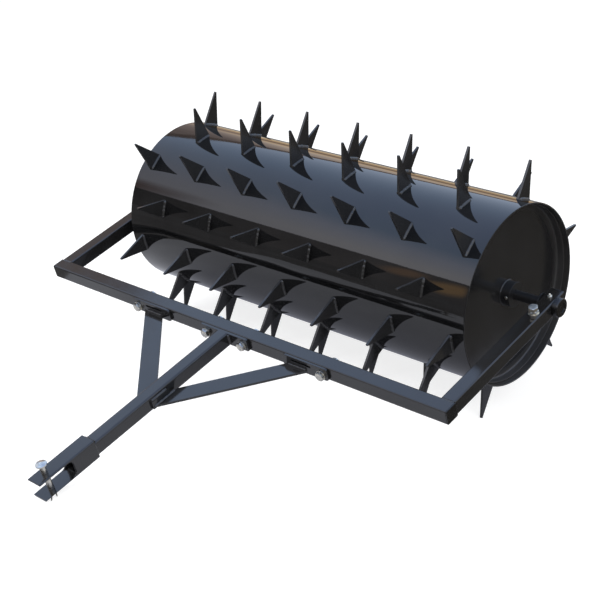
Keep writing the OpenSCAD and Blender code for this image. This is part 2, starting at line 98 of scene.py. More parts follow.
SET_REACH = 0.052
SET_NECK = 0.002
SET_DEPTH = 0.016
ZERK_BACK = 0.004
ZERK_AF = 0.008
ZERK_STEM_R = 0.0025
ZERK_BALL_R = 0.00225
ZERK_BALL_H = 0.00575
ZERK_HEX_H = 0.0028
TONGUE_REACH = 0.775
FLANGE_W = 0.130
FLANGE_H = 0.028
FLANGE_T = 0.006
FLANGE_BOLT = 0.050
FLANGE_FACE = BAR_REACH + FLANGE_T
BRACE_W = 0.038
BRACE_T = 0.005
BRACE_TOP = -0.006
BRACE_LOW = BRACE_TOP - BRACE_T
TAB_H = 0.028
TAB_NEAR = 0.158
TAB_FAR = 0.271
TAB_BOLT = 0.255
SLOT_LEN = 0.050
SLOT_W = 0.005
SLOT_MID = 0.205
SLOT_H = 0.0055
FOOT_H = 0.012
FOOT_LEN = 0.045
FOOT_AHEAD = 0.013
CLEVIS_WALL = 0.003
CLEVIS_W = TUBE + 2 * CLEVIS_WALL
CLEVIS_CLEAR = 0.035
CLEVIS_H = CLEVIS_CLEAR + 2 * CLEVIS_WALL
CLEVIS_CORNER = 0.0035
CLEVIS_GRIP = 0.054
EAR_LEN = 0.077
EAR_ROOT = 0.010
EAR_BOTTOM = -HALF - CLEVIS_WALL
EAR_TOP = EAR_BOTTOM + CLEVIS_H
JAW_MID = (EAR_BOTTOM + EAR_TOP) / 2
PIN_AHEAD = 0.050
PIN_S = TONGUE_REACH + PIN_AHEAD
PIN_R = 0.006
PIN_LOW = EAR_BOTTOM - 0.009
PIN_HEAD_H = EAR_TOP + 0.019
PIN_HEAD_R = 0.011
PIN_RIM = 0.0025
PIN_DOME = 0.0025
CLIP_WIRE = 0.0026
CLIP_H = EAR_BOTTOM - 0.0003 - CLIP_WIRE / 2
CLIP_SIDE = PIN_R + 0.00035 + CLIP_WIRE / 2
CLIP_END = 0.028
CLIP_BOW = -0.014
CLIP_FLARE = 0.040
CLIP_TURN = -42


# Places


def shift(x, y, z):
    return Matrix.Translation((x, y, z))


def turn(degrees, axis):
    return Matrix.Rotation(radians(degrees), 4, axis)


FRAME_PLANE = Matrix.Translation(AXLE) @ turn(PITCH, "X")
MIRROR = Matrix.Scale(-1, 4, (1, 0, 0))
SIDES = {"right": Matrix(), "left": MIRROR}
AHEAD = turn(90, "X")
ACROSS = turn(90, "Y")

# Sets an outline upright: its x runs along y, its y upwards and its thickness across
ON_EDGE = Matrix(((0, 0, 1, 0), (1, 0, 0, 0), (0, 1, 0, 0), (0, 0, 0, 1)))


def at(x, s, h):
    """A place in the frame's plane: across, ahead of the axle, above the tubes' middle."""
    return FRAME_PLANE @ shift(x, -s, h)


def on_drum(x, angle):
    """A place on the axle whose z runs out at that angle, 0 at the top and turning forwards."""
    return Matrix.Translation(AXLE + Vector((x, 0, 0))) @ turn(angle, "X")


# Shader nodes


class Nodes:
    """A material or a world built from nodes."""

    def __init__(self, name, world=False):
        self.owner = (bpy.data.worlds if world else bpy.data.materials).new(name)
        self.owner.use_nodes = True
        self.tree = self.owner.node_tree
        self.tree.nodes.clear()
        self.out = self.add("OutputWorld" if world else "OutputMaterial")

    def add(self, kind, **inputs):
        node = self.tree.nodes.new("ShaderNode" + kind)
        for key, value in inputs.items():
            if hasattr(node, key):
                setattr(node, key, value)
            else:
                self.feed(node, key.replace("_", " "), value)
        return node

    def feed(self, node, key, value):
        """Sets a socket, or links it. A key such as #1 is the socket's number."""
        socket = node.inputs[int(key[1:])] if key[0] == "#" else node.inputs[key]
        if isinstance(value, tuple) and isinstance(value[0], bpy.types.Node):
            self.tree.links.new(value[0].outputs[value[1]], socket)
        elif isinstance(value, bpy.types.Node):
            self.tree.links.new(value.outputs[0], socket)
        else:
            socket.default_value = value

    def coords(self, stretch=(1, 1, 1), offset=(0, 0, 0)):
        place = (self.add("TexCoord"), "Object")
        return self.add("Mapping", Vector=place, Scale=stretch, Location=offset)

    def where(self, kind="Object"):
        """The place on the surface, as X, Y and Z."""
        return self.add("SeparateXYZ", Vector=(self.add("TexCoord"), kind))

    def noise(self, scale, detail=2.0, rough=0.5, stretch=(1, 1, 1)):
        place = self.coords(stretch)
        return self.add("TexNoise", Vector=place, Scale=scale, Detail=detail, Roughness=rough)

    def math(self, op, a, b=0.0):
        node = self.add("Math", operation=op)
        self.feed(node, "#0", a)
        self.feed(node, "#1", b)
        return node

    def spread(self, source, low, high, from_low=0.3, from_high=0.7):
        """Maps a range of the source to another range, and holds it there."""
        ends = {"From_Min": from_low, "From_Max": from_high, "To_Min": low, "To_Max": high}
        return self.add("MapRange", Value=source, **ends)

    def rising(self, source, start, end):
        return self.spread(source, 0.0, 1.0, start, end)

    def falling(self, source, start, end):
        return self.spread(source, 1.0, 0.0, start, end)

    def blend(self, factor, a, b):
        node = self.add("Mix", data_type="RGBA")
        self.feed(node, "#0", factor)
        self.feed(node, "#6", a)
        self.feed(node, "#7", b)
        return (node, 2)

    def clouds(self, scale, detail, a, b, stretch=(1, 1, 1)):
        """Two colours in soft patches."""
        patches = self.spread(self.noise(scale, detail, 0.5, stretch), 0.0, 1.0)
        return self.blend(patches, (*a, 1), (*b, 1))

    def ramp(self, factor, stops):
        node = self.add("ValToRGB", Fac=factor)
        points = node.color_ramp.elements
        while len(points) < len(stops):
            points.new(0.5)
        for point, (place, colour) in zip(points, stops):
            point.position = place
            point.color = (*colour, 1)
        return node

    def bump(self, height, strength, distance):
        return self.add("Bump", Height=height, Strength=strength, Distance=distance)

    def show(self, shader):
        self.tree.links.new(shader.outputs[0], self.out.inputs["Surface"])
        return self.owner

    def surface(self, **inputs):
        return self.show(self.add("BsdfPrincipled", **inputs))


# Paint, zinc and plastic

BLACK = (0.011, 0.0108, 0.0112)
BLACK_WORN = (0.016, 0.0158, 0.0163)
DUST = (0.020, 0.019, 0.018)
DUST_PALE = (0.034, 0.032, 0.031)
DUST_DULL = 0.3
PAINT_IOR = 1.5


def paint(name, rough, dark=BLACK, light=BLACK_WORN, peel=0.10, dusty=None):
    """Black powder coat with orange peel and uneven gloss.
    With two distances from the axle, it goes from clean at the first to dull and dusty at the second."""
    n = Nodes(name)
    colour = n.clouds(9.0, 3.0, dark, light)
    gloss = n.spread(n.noise(24.0, 4.0, 0.6), *rough)
    if dusty:
        place = n.coords((0, 1, 1), (0, -AXLE.y, -AXLE.z))
        far = n.add("VectorMath", operation="LENGTH", Vector=place)
        dust = n.rising((far, "Value"), *dusty)
        colour = n.blend(dust, colour, n.clouds(14.0, 3.0, DUST, DUST_PALE))
        gloss = n.math("ADD", gloss, n.math("MULTIPLY", dust, DUST_DULL))
    skin_bump = n.bump(n.noise(420.0, 2.0), peel, 0.0004)
    return n.surface(Base_Color=colour, Roughness=gloss, Normal=skin_bump, IOR=PAINT_IOR)


def zinc(name, tone, rough):
    """Zinc plate: warm bright and cool dull clouds, with fine marks."""
    n = Nodes(name)
    warm = (tone[0] * 1.2, tone[1] * 1.18, tone[2] * 1.1)
    cool = (tone[0] * 0.55, tone[1] * 0.58, tone[2] * 0.64)
    colour = n.clouds(140.0, 3.0, warm, cool)
    gloss = n.spread(n.noise(300.0, 2.0), *rough)
    marks = n.bump(n.noise(900.0, 2.0), 0.12, 0.0003)
    return n.surface(Base_Color=colour, Metallic=1.0, Roughness=gloss, Normal=marks)


def plastic(name, low, high, rough):
    """Moulded plastic with a fine grain."""
    n = Nodes(name)
    colour = n.clouds(60.0, 3.0, low, high)
    gloss = n.spread(n.noise(180.0, 2.0), *rough)
    return n.surface(Base_Color=colour, Roughness=gloss, Normal=n.bump(n.noise(900.0, 2.0), 0.15, 0.0003))


DRUM_BLACK = ((0.0035, 0.0035, 0.0038), (0.0075, 0.0075, 0.008))
# Hub, axle and thrust washers: darker and duller than the other paint
HUB_BLACK = ((0.006, 0.006, 0.0065), (0.011, 0.011, 0.0115))
SPIKE_BLACK = ((0.015, 0.0148, 0.0152), (0.023, 0.0226, 0.0230))
# Welds: black with paler patches, partly dust and partly a painted highlight that stands in for glints along
# the beads
WELD_DUST_AND_GLINT = ((0.008, 0.008, 0.008), (0.030, 0.029, 0.028))
DRUM_PAINT = paint("drum_paint", (0.02, 0.05), *DRUM_BLACK, 0.03, dusty=(0.1812, 0.1800))
HEAD_PAINT = paint("head_paint", (0.15, 0.22), peel=0.05, dusty=(0.158, 0.172))
HUB_PAINT = paint("hub_paint", (0.26, 0.40), *HUB_BLACK)
FRAME_PAINT = paint("frame_paint", (0.09, 0.15), peel=0.06)
SPIKE_PAINT = paint("spike_paint", (0.12, 0.22), *SPIKE_BLACK)
WELD_PAINT = paint("weld_paint", (0.20, 0.36), *WELD_DUST_AND_GLINT, 0.2)
ZINC = zinc("zinc_plate", (0.56, 0.54, 0.49), (0.20, 0.36))
FRESH_ZINC = zinc("fresh_zinc_plate", (0.80, 0.74, 0.62), (0.28, 0.42))
CAP_PLASTIC = plastic("cap_plastic", (0.003, 0.003, 0.003), (0.006, 0.006, 0.006), (0.2, 0.3))
NYLON = plastic("bearing_nylon", (0.6, 0.59, 0.54), (0.72, 0.7, 0.64), (0.4, 0.55))
WELDED_FRAME = (FRAME_PAINT, WELD_PAINT)

# Of the CAD's own solids only the bearing blocks stay in view
for name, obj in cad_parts.items():
    obj.data.materials.clear()
    obj.data.materials.append(NYLON if name.startswith("bearing") else FRAME_PAINT)


# Mesh parts: each is a list of points and a list of faces

SAME_POINT = 2e-6
ON_AXIS = 1e-9
CORNER_STEPS = 5
RING_EDGE = 0.0004
SOFT_EDGE = 0.0006
FINE_EDGE = 0.0003
LEAST_CORNER = 0.0005
HEX_STEPS = 72
HEX_RIM = 0.95
HEX_SLOPE = 0.55
THREAD_PITCH = 0.0015
THREAD_DEPTH = THREAD_PITCH * 0.55
THREAD_STEPS = 32
BEAD_SIDES = 7
BEAD_LAP = 0.12
BEAD_SWELL = 0.32
BEAD_RIPPLE = 0.11
BEAD_STEP = 0.0007
BEAD_END = 0.25
WIRE_SIDES = 12


def mixed(low, high, t):
    return low + (high - low) * t


def box(x0, x1, y0, y1):
    """The corners of a rectangle."""
    return [(x0, y0), (x1, y0), (x1, y1), (x0, y1)]


def angles(steps):
    """A full turn in equal steps."""
    return [2 * pi * k / steps for k in range(steps)]


def disc(x, y, r, steps=32):
    return [(x + r * cos(a), y + r * sin(a)) for a in angles(steps)]


def eased(points, radius, steps, closed=True):
    """Rounds the corners of a line of 2D points."""
    out = []
    count = len(points)
    for i, here in enumerate(points):
        if not closed and i in (0, count - 1):
            out.append(tuple(here))
            continue
        p, a, b = Vector(here), Vector(points[i - 1]), Vector(points[(i + 1) % count])
        near = p + (a - p).normalized() * min(radius, 0.45 * (a - p).length)
        far = p + (b - p).normalized() * min(radius, 0.45 * (b - p).length)
        for k in range(steps + 1):
            t = k / steps
            out.append(tuple(near * (1 - t) ** 2 + p * 2 * t * (1 - t) + far * t * t))
    return out


def section(w, h, corner):
    """A rectangle with round corners."""
    points = []
    for quarter, (cx, cy) in enumerate(((1, 1), (-1, 1), (-1, -1), (1, -1))):
        for i in range(CORNER_STEPS + 1):
            a = pi / 2 * (quarter + i / CORNER_STEPS)
            points.append((cx * (w / 2 - corner) + corner * cos(a), cy * (h / 2 - corner) + corner * sin(a)))
    return points


def numbered(verts, points):
    """Adds points to a list and gives their numbers."""
    start = len(verts)
    verts += points
    return list(range(start, len(verts)))


def skin(rows, wrap=True, ends=False):
    """Faces between rows of points. With ends, the first and last row are closed too."""
    faces = []
    for a, b in zip(rows, rows[1:]):
        count = len(a)
        for k in range(count if wrap else count - 1):
            m = (k + 1) % count
            face = tuple(dict.fromkeys((a[k], a[m], b[m], b[k])))
            if len(face) > 2:
                faces.append(face)
    if ends:
        faces += [tuple(reversed(rows[0])), tuple(rows[-1])]
    return faces


def turned(rows):
    """Spreads the (radius, height) points of each row round Z; a row of radius 0 is one point."""
    verts, ids = [], []
    for points in rows:
        steps = len(points)
        if points[0][0] < ON_AXIS:
            ids.append(numbered(verts, [(0, 0, points[0][1])]) * steps)
        else:
            spun = [(r * cos(a), r * sin(a), z) for a, (r, z) in zip(angles(steps), points)]
            ids.append(numbered(verts, spun))
    return verts, skin(ids)


def lathe(profile, steps=64):
    """Turns a line of (radius, height) points round Z, upwards on the outside; radius 0 closes it."""
    return turned([[point] * steps for point in profile])


def cylinder(r, low, high, steps=48):
    return lathe([(0, low), (r, low), (r, high), (0, high)], steps)


def ring_of(outer, inner, low, high, edge=RING_EDGE, ease=2, steps=64):
    """A washer or a collar with eased edges."""
    profile = eased([(inner, low), (outer, low), (outer, high), (inner, high)], edge, ease)
    return lathe(profile + profile[:1], steps)


def pipe(w, h, wall, corner, length, edge=FINE_EDGE):
    """A hollow rectangular tube along Z with eased ends."""
    bore = section(w - 2 * wall, h - 2 * wall, max(corner - wall, LEAST_CORNER))
    end = section(w - 2 * edge, h - 2 * edge, corner - edge)
    side = section(w, h, corner)
    loops = [(bore, length), (bore, 0), (end, 0), (side, edge)]
    loops += [(side, length - edge), (end, length), (bore, length)]
    verts = []
    rows = [numbered(verts, [(x, y, z) for x, y in points]) for points, z in loops]
    return verts, skin(rows)


def slab(outline, low, high, edge):
    """A convex outline with eased edges, extruded along Z and closed at both ends."""
    middle = sum((Vector(p) for p in outline), Vector((0, 0))) / len(outline)
    slope = edge * 0.3
    levels = [(edge, low), (slope, low + slope), (0, low + edge)]
    levels += [(0, high - edge), (slope, high - slope), (edge, high)]
    verts, rows = [], []
    for inset, z in levels:
        points = []
        for p in outline:
            v = Vector(p) - middle
            v -= v.normalized() * min(inset * 1.3, v.length * 0.5)
            points.append((*(middle + v), z))
        rows.append(numbered(verts, points))
    return verts, skin(rows, ends=True)


def plate(outline, thick, holes):
    """A flat plate of any outline, with holes and eased edges, from z 0 up to its thickness."""
    curve = bpy.data.curves.new("outline", "CURVE")
    curve.dimensions = "2D"
    curve.fill_mode = "BOTH"
    curve.extrude = thick / 2 - SOFT_EDGE
    curve.bevel_depth = SOFT_EDGE
    curve.bevel_resolution = 2
    curve.offset = -SOFT_EDGE
    for line in (outline, *holes):
        spline = curve.splines.new("POLY")
        spline.points.add(len(line) - 1)
        for point, (x, y) in zip(spline.points, line):
            point.co = (x, y, 0, 1)
        spline.use_cyclic_u = True
    obj = bpy.data.objects.new("outline", curve)
    mesh = bpy.data.meshes.new_from_object(obj)
    verts = [(v.co.x, v.co.y, v.co.z + thick / 2) for v in mesh.vertices]
    faces = [tuple(f.vertices) for f in mesh.polygons]
    bpy.data.objects.remove(obj)
    bpy.data.curves.remove(curve)
    bpy.data.meshes.remove(mesh)
    return verts, faces


def hexagon(af, low, high, bore=0.0, washer_face=0.0):
    """A hex body with a turned chamfer: on both ends of a nut, with its bore, or on top of a head."""
    flat = af / 2
    rim = flat * HEX_RIM
    base = low + washer_face
    reach = [flat / cos(a % (pi / 3) - pi / 6) for a in angles(HEX_STEPS)]
    drop = [(r - rim) * HEX_SLOPE for r in reach]

    def ring(r, z):
        return [(r, z)] * HEX_STEPS

    sides = [[(r, base + (d if bore else 0)) for r, d in zip(reach, drop)]]
    sides += [[(r, high - d) for r, d in zip(reach, drop)], ring(rim, high)]
    if bore:
        mouth = [ring(bore + SOFT_EDGE, high), ring(bore, high - SOFT_EDGE), ring(bore, low)]
        return turned([ring(bore, low), ring(rim, low)] + sides + mouth)
    face = [ring(rim, low), ring(rim, base)] if washer_face else []
    return turned([ring(0, low)] + face + sides + [ring(0, high)])


def thread(d, low, high):
    """A screw thread along Z with a chamfered, closed upper end."""
    levels = max(6, int((high - low) / THREAD_PITCH * 8))
    rows = []
    for i in range(levels + 1):
        z = mixed(low, high, i / levels)
        points = []
        for k in range(THREAD_STEPS):
            wave = abs(2 * ((z / THREAD_PITCH - k / THREAD_STEPS) % 1) - 1)
            crest = d / 2 - THREAD_DEPTH * (1 - wave)
            points.append((min(crest, d / 2 - THREAD_DEPTH + (high - z) * 0.8), z))
        rows.append(points)
    return turned(rows + [[(0, high)] * THREAD_STEPS])


def bead(path, leg, seed, ripple=0.0035, bulge=0.22, span=pi / 2):
    """A rippled fillet weld. Each place on the path has its x and y axes along the two faces it joins."""
    verts, rows = [], []
    run = 0.0
    total = sum((b.translation - a.translation).length for a, b in zip(path, path[1:]))
    for i, place in enumerate(path):
        if i:
            run += (place.translation - path[i - 1].translation).length
        fade = min(1, BEAD_END + min(run, total - run) / (leg * 0.8))
        swell = 1 + BEAD_SWELL * noise.noise(Vector((run * 160 + seed * 7.3, seed, 0)))
        points = []
        for k in range(BEAD_SIDES):
            t = k / (BEAD_SIDES - 1)
            a = mixed(-BEAD_LAP, span + BEAD_LAP, t)
            chord = 1 / (cos(a) + sin(a)) if 0 < a < span < 2 else 1.0
            lag = ripple * 0.45 * (1 - (2 * t - 1) ** 2)
            wave = abs(sin(pi * (run + lag) / ripple + seed))
            crown = 1 + bulge * sin(pi * t) + BEAD_RIPPLE * sin(pi * t) * (wave - 0.6)
            r = leg * fade * swell * chord * crown
            points.append(place @ Vector((r * cos(a), r * sin(a), 0)))
        rows.append(numbered(verts, points))
    faces = skin(rows, wrap=False, ends=True)
    run_on = path[1].translation - path[0].translation
    if path[0].col[0].xyz.cross(path[0].col[1].xyz).dot(run_on) < 0:
        faces = [face[::-1] for face in faces]
    return verts, faces


def straight(start, end, x_axis, y_axis):
    """Places along a straight weld root."""
    start, end, x_axis, y_axis = (Vector(v) for v in (start, end, x_axis, y_axis))
    z_axis = (end - start).normalized()
    axes = Matrix((x_axis, y_axis, z_axis)).transposed().to_4x4()
    count = max(8, int((end - start).length / BEAD_STEP))
    return [Matrix.Translation(start.lerp(end, i / count)) @ axes for i in range(count + 1)]


def wire_part(points, radius):
    """A round wire along a line of points, with closed ends that are a little thinner."""
    points = [Vector(p) for p in points]
    verts, rows = [], []
    for i, p in enumerate(points):
        ahead = (points[min(i + 1, len(points) - 1)] - points[max(i - 1, 0)]).normalized()
        side = ahead.cross(Vector((0, 0, 1))).normalized()
        rise = side.cross(ahead)
        r = radius * (0.75 if i in (0, len(points) - 1) else 1)
        circle = [tuple(p + side * r * cos(a) - rise * r * sin(a)) for a in angles(WIRE_SIDES)]
        rows.append(numbered(verts, circle))
    return verts, skin(rows, ends=True)


def mesh_object(name, verts, faces, mats=(), tags=()):
    """A mesh in the scene, with points at the same place joined."""
    mesh = bpy.data.meshes.new(name)
    mesh.from_pydata([tuple(v) for v in verts], [], faces)
    for mat in mats:
        mesh.materials.append(mat)
    if tags:
        mesh.polygons.foreach_set("material_index", tags)
    work = bmesh.new()
    work.from_mesh(mesh)
    bmesh.ops.remove_doubles(work, verts=work.verts, dist=SAME_POINT)
    work.to_mesh(mesh)
    work.free()
    obj = bpy.data.objects.new(name, mesh)
    scene.collection.objects.link(obj)
    return obj


def moved(part, place):
    return [place @ Vector(v) for v in part[0]], part[1]


def cut(part, *tools):
    """Cuts closed parts out of a closed part."""
    made = [mesh_object("cut", *shape) for shape in (part, *tools)]
    for tool in made[1:]:
        step = made[0].modifiers.new("cut", "BOOLEAN")
        step.object = tool
        step.solver = "EXACT"
    graph = bpy.context.evaluated_depsgraph_get()
    mesh = bpy.data.meshes.new_from_object(made[0].evaluated_get(graph))
    out = ([tuple(v.co) for v in mesh.vertices], [tuple(f.vertices) for f in mesh.polygons])
    for obj in made:
        data = obj.data
        bpy.data.objects.remove(obj)
        bpy.data.meshes.remove(data)
    bpy.data.meshes.remove(mesh)
    return out


class Form:
    """Mesh parts gathered into one piece. Tag 0 takes its first material and tag 1 its second."""

    def __init__(self):
        self.verts = []
        self.faces = []
        self.tags = []

    def add(self, part, place=Matrix(), tag=0):
        verts, faces = part
        base = len(self.verts)
        flip = place.determinant() < 0
        self.verts += [place @ Vector(v) for v in verts]
        for face in faces:
            ids = tuple(base + i for i in face)
            self.faces.append(ids[::-1] if flip else ids)
            self.tags.append(tag)
        return self

    def weld(self, start, end, x_axis, y_axis, leg, seed, side=Matrix(), **shape):
        """A straight bead in the frame's plane, between faces along the two axes."""
        path = straight(start, end, x_axis, y_axis)
        self.add(bead(path, leg, seed, **shape), side @ FRAME_PLANE, 1)

    def piece(self, node, mats, body, crease=32.0, bevel=0.0):
        """Links the form as the look of a CAD node."""
        mats = mats if isinstance(mats, tuple) else (mats,)
        obj = mesh_object(f"{node}_look", self.verts, self.faces, mats, self.tags)
        obj.data.polygons.foreach_set("use_smooth", [True] * len(obj.data.polygons))
        obj.data.set_sharp_from_angle(angle=radians(crease))
        if bevel:
            edge = obj.modifiers.new("edge", "BEVEL")
            edge.width = bevel
            edge.segments = 2
            edge.limit_method = "ANGLE"
            edge.angle_limit = radians(40)
            edge.harden_normals = True
        flat = obj.modifiers.new("flat", "WEIGHTED_NORMAL")
        flat.weight = 80
        flat.keep_sharp = True
        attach(obj, body)
        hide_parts(node)


# Drum: local Z of these places is the axle, pointing to +X

ON_AXLE = Matrix.Translation(AXLE) @ ACROSS
RIM = DRUM_L / 2
FACE = RIM - HEAD_RECESS
SHELL_STEP = 0.010
SHELL_SINK = 0.00006
SHELL_WAVE = 0.00005
DENT_LENGTH = 0.045
DENT_WIDTH = 0.017
FACE_SINK = 0.00035
FACE_WAVE = 0.0004
RIM_EDGE = 0.001
FLANGE_EDGE = 0.0008
BOSS_WELD = 0.0018
CAP_DISH_R = 0.0102
CAP_SHOULDER = 0.003
SCREW_EDGE = 0.0004
SHAFT_EDGE = 0.001

# Shallow dents along the front of the drum: across, degrees from the top, depth
DENTS = [(-0.20, 92, 0.00012), (-0.12, 83, 0.00020), (-0.03, 92, 0.00020)]
DENTS += [(0.05, 84, 0.00018), (0.12, 92.5, 0.00018), (0.23, 85, 0.00012)]


def shell():
    """Rolled sheet with eased rims, small dents and the faint waves that rolling leaves."""
    inner = DRUM_R - DRUM_WALL
    line = [(inner, 0), (inner, -RIM), (DRUM_R, -RIM), (DRUM_R, RIM), (inner, RIM), (inner, 0)]
    ends = eased(line, RIM_EDGE, 4, False)
    profile = []
    for a, b in zip(ends, ends[1:]):
        profile.append(a)
        outside = min(a[0], b[0]) > inner + RIM_EDGE
        count = int(abs(b[1] - a[1]) / SHELL_STEP) if outside else 0
        for k in range(1, count):
            profile.append((mixed(a[0], b[0], k / count), mixed(a[1], b[1], k / count)))
    profile.append(ends[-1])
    verts, faces = lathe(profile, 320)
    out = []
    for x, y, z in verts:
        r = sqrt(x * x + y * y)
        if r > DRUM_R - 0.0005:
            wave = noise.noise(Vector((x * 9, y * 9, z * 3.1)))
            wave += 0.4 * noise.noise(Vector((x * 26, y * 26, z * 9 + 4)))
            dent = 0.0
            for mid, angle, deep in DENTS:
                across = x + DRUM_R * cos(radians(angle)), y + DRUM_R * sin(radians(angle))
                around = across[0] ** 2 + across[1] ** 2
                dent += deep * exp(-((z - mid) / DENT_LENGTH) ** 2 - around / DENT_WIDTH ** 2)
            k = 1 - (SHELL_SINK - SHELL_WAVE * wave + dent) / r
            x, y = x * k, y * k
        out.append((x, y, z))
    return out, faces


def head():
    """A pressed head: a face that is not quite flat, a bend and a flange that reaches towards the rim."""
    out_r = DRUM_R - DRUM_WALL
    back = FACE - HEAD_WALL
    edge = RIM - HEAD_EDGE
    small = HEAD_BEND - HEAD_WALL
    quarter = [pi / 2 * k / 6 for k in range(7)]
    bend = [(out_r - HEAD_BEND * (1 - sin(a)), back + HEAD_BEND * (1 - cos(a))) for a in quarter]
    quarter.reverse()
    inside = [(out_r - HEAD_BEND + small * sin(a), back + HEAD_BEND - small * cos(a)) for a in quarter]
    flange = [bend[-1], (out_r, edge), (out_r - HEAD_WALL, edge), inside[0]]
    profile = [(BOSS_R, back)] + bend + eased(flange, FLANGE_EDGE, 3, False)[1:-1] + inside
    profile += [(mixed(inside[-1][0], BOSS_R, k / 16), FACE) for k in range(1, 17)]
    verts, faces = lathe(profile + [(BOSS_R, back)], 200)
    out = []
    for x, y, z in verts:
        r = sqrt(x * x + y * y)
        if abs(z - FACE) < 1e-6 and r < out_r - HEAD_BEND - 0.002:
            fade = min(1.0, (out_r - HEAD_BEND - r) / 0.03) * min(1.0, (r - BOSS_R + 0.004) / 0.02)
            z -= fade * (FACE_SINK + FACE_WAVE * noise.noise(Vector((x * 11, y * 11, 3))))
        out.append((x, y, z))
    return out, faces


def boss():
    return ring_of(BOSS_R, AXLE_R, FACE - HEAD_WALL - BOSS_IN, FACE + BOSS_OUT, SOFT_EDGE, 3, 96)


def boss_weld():
    """A bead round the boss, with x of its places out along the head and y up the boss."""
    path = []
    for k in range(111):
        a = 2 * pi * k / 110
        axes = Matrix(((cos(a), 0, sin(a)), (sin(a), 0, -cos(a)), (0, 1, 0))).to_4x4()
        path.append(shift(BOSS_R * cos(a), BOSS_R * sin(a), FACE) @ axes)
    return bead(path, BOSS_WELD, 3)


def axle_cap():
    """A round cap with a soft shoulder and a shallow dish in its end."""
    inner = CAP_LEN - CAP_FLOOR
    dish = CAP_LEN - CAP_DISH
    mouth = [(0, inner), (AXLE_R, inner), (AXLE_R, 0), (CAP_R, 0)]
    shoulder = [(CAP_R, 0), (CAP_R, CAP_LEN), (CAP_DISH_R, CAP_LEN)]
    hollow = [(CAP_DISH_R, CAP_LEN), (CAP_DISH_R - 0.0004, dish), (0, dish)]
    profile = eased(mouth, 0.0004, 2, False) + eased(shoulder, CAP_SHOULDER, 5, False)[1:-1]
    return lathe(profile + eased(hollow, 0.0005, 2, False), 96)


def set_screw():
    """A grub screw with a hexagon socket, along Z from the axle out."""
    socket = moved(hexagon(SOCKET_AF, 0, SOCKET_DEPTH + 0.001), shift(0, 0, SCREW_TOP - SOCKET_DEPTH))
    body = [(0, AXLE_R), (SCREW_R, AXLE_R), (SCREW_R, SCREW_TOP - SCREW_EDGE)]
    return cut(lathe(body + [(SCREW_R - SCREW_EDGE, SCREW_TOP), (0, SCREW_TOP)], 40), socket)


def shaft():
    half = FRAME_W / 2 + SIDE_PLAY + CAP_LEN - CAP_FLOOR
    low = [(0, -half), (AXLE_R - SHAFT_EDGE, -half), (AXLE_R, -half + SHAFT_EDGE)]
    return lathe(low + [(AXLE_R, half - SHAFT_EDGE), (AXLE_R - SHAFT_EDGE, half), (0, half)])


Form().add(shell(), ON_AXLE).piece("drum_shell", DRUM_PAINT, "drum", crease=40)
for word, side in SIDES.items():
    place = side @ ON_AXLE
    Form().add(head(), place).piece(f"drum_head_{word}", HEAD_PAINT, "drum", crease=40)
    hub = Form().add(boss(), place).add(boss_weld(), place)
    hub.piece(f"hub_boss_{word}", HUB_PAINT, "drum")
    cap = Form().add(axle_cap(), place @ shift(0, 0, FRAME_W / 2 + SIDE_PLAY))
    cap.piece(f"axle_cap_{word}", CAP_PLASTIC, "drum")

screws = Form()
washers = Form()
thrust = FRAME_W / 2 - TUBE - SIDE_PLAY - THRUST_T
for side in SIDES.values():
    screws.add(set_screw(), side @ on_drum(BOSS_SCREW_X, 90))
    washers.add(ring_of(CAP_R, AXLE_R, thrust, thrust + THRUST_T), side @ ON_AXLE)
screws.piece("hub_set_screws", FRESH_ZINC, "drum")
washers.piece("thrust_washers", HUB_PAINT, "drum")
Form().add(shaft(), ON_AXLE).piece("drum_axle", HUB_PAINT, "drum")

# Spikes: flame-cut plates, each one set down by hand and welded along both faces

FOOT_R = sqrt(DRUM_R ** 2 - (SPIKE_BASE / 2) ** 2)
TIP_R = DRUM_R + SPIKE_H - 0.0001
WELD_ARC = radians(6.1)
FIRST_ROW = 15
ROW_STEP = 30
FLAME_BITE = 0.010
FLAME_GRAIN = 300
OFF_PITCH = 0.0005
OFF_TURN = 1.6
OFF_PLUMB = 0.8


def jitter(a, b):
    return noise.noise(Vector((a * 1.73 + 0.31, b * 2.37 + 0.57, 0.5)))


def spike_plate(row, i):
    base, tip = SPIKE_BASE / 2, SPIKE_TIP / 2
    outline = [(-base, FOOT_R), (-tip, TIP_R), (tip, TIP_R), (base, FOOT_R)]
    line = []
    for a, b in zip(outline, outline[1:] + outline[:1]):
        count = 12 if abs(a[1] - b[1]) > 0.01 else 3
        for k in range(count):
            p = Vector(a).lerp(Vector(b), k / count)
            if k:
                bite = 0.5 + 0.5 * noise.noise(Vector((p.x * FLAME_GRAIN, p.y * FLAME_GRAIN, row * 5.1 + i)))
                p.x *= 1 - FLAME_BITE * bite
            line.append(tuple(p))
    return slab(line[::-1], -SPIKE_T / 2, SPIKE_T / 2, FINE_EDGE)


def spike_weld(side, seed):
    path = []
    for k in range(31):
        a = mixed(-WELD_ARC, WELD_ARC, k / 30)
        axes = Matrix(((side, 0, 0), (0, sin(a), cos(a)), (0, cos(a), -sin(a)))).transposed().to_4x4()
        path.append(shift(side * SPIKE_T / 2, DRUM_R * sin(a), DRUM_R * cos(a)) @ axes)
    return bead(path, SPIKE_WELD, seed, ripple=0.004)


for row in range(SPIKE_ROWS):
    count = 6 + row % 2
    spikes = Form()
    for i in range(count):
        x = (i - (count - 1) / 2) * SPIKE_PITCH + OFF_PITCH * jitter(row, i)
        foot = on_drum(x, FIRST_ROW + ROW_STEP * row)
        lean = shift(0, 0, DRUM_R) @ turn(OFF_TURN * jitter(row + 20, i), "Z")
        lean = lean @ turn(OFF_PLUMB * jitter(row + 40, i), "Y") @ shift(0, 0, -DRUM_R)
        spikes.add(spike_plate(row, i), foot @ lean @ ON_EDGE)
        for side in (-1, 1):
            spikes.add(spike_weld(side, row * 13 + i * 3 + side), foot, 1)
    spikes.piece(f"spike_row_{row + 1:02d}", (SPIKE_PAINT, WELD_PAINT), "drum")

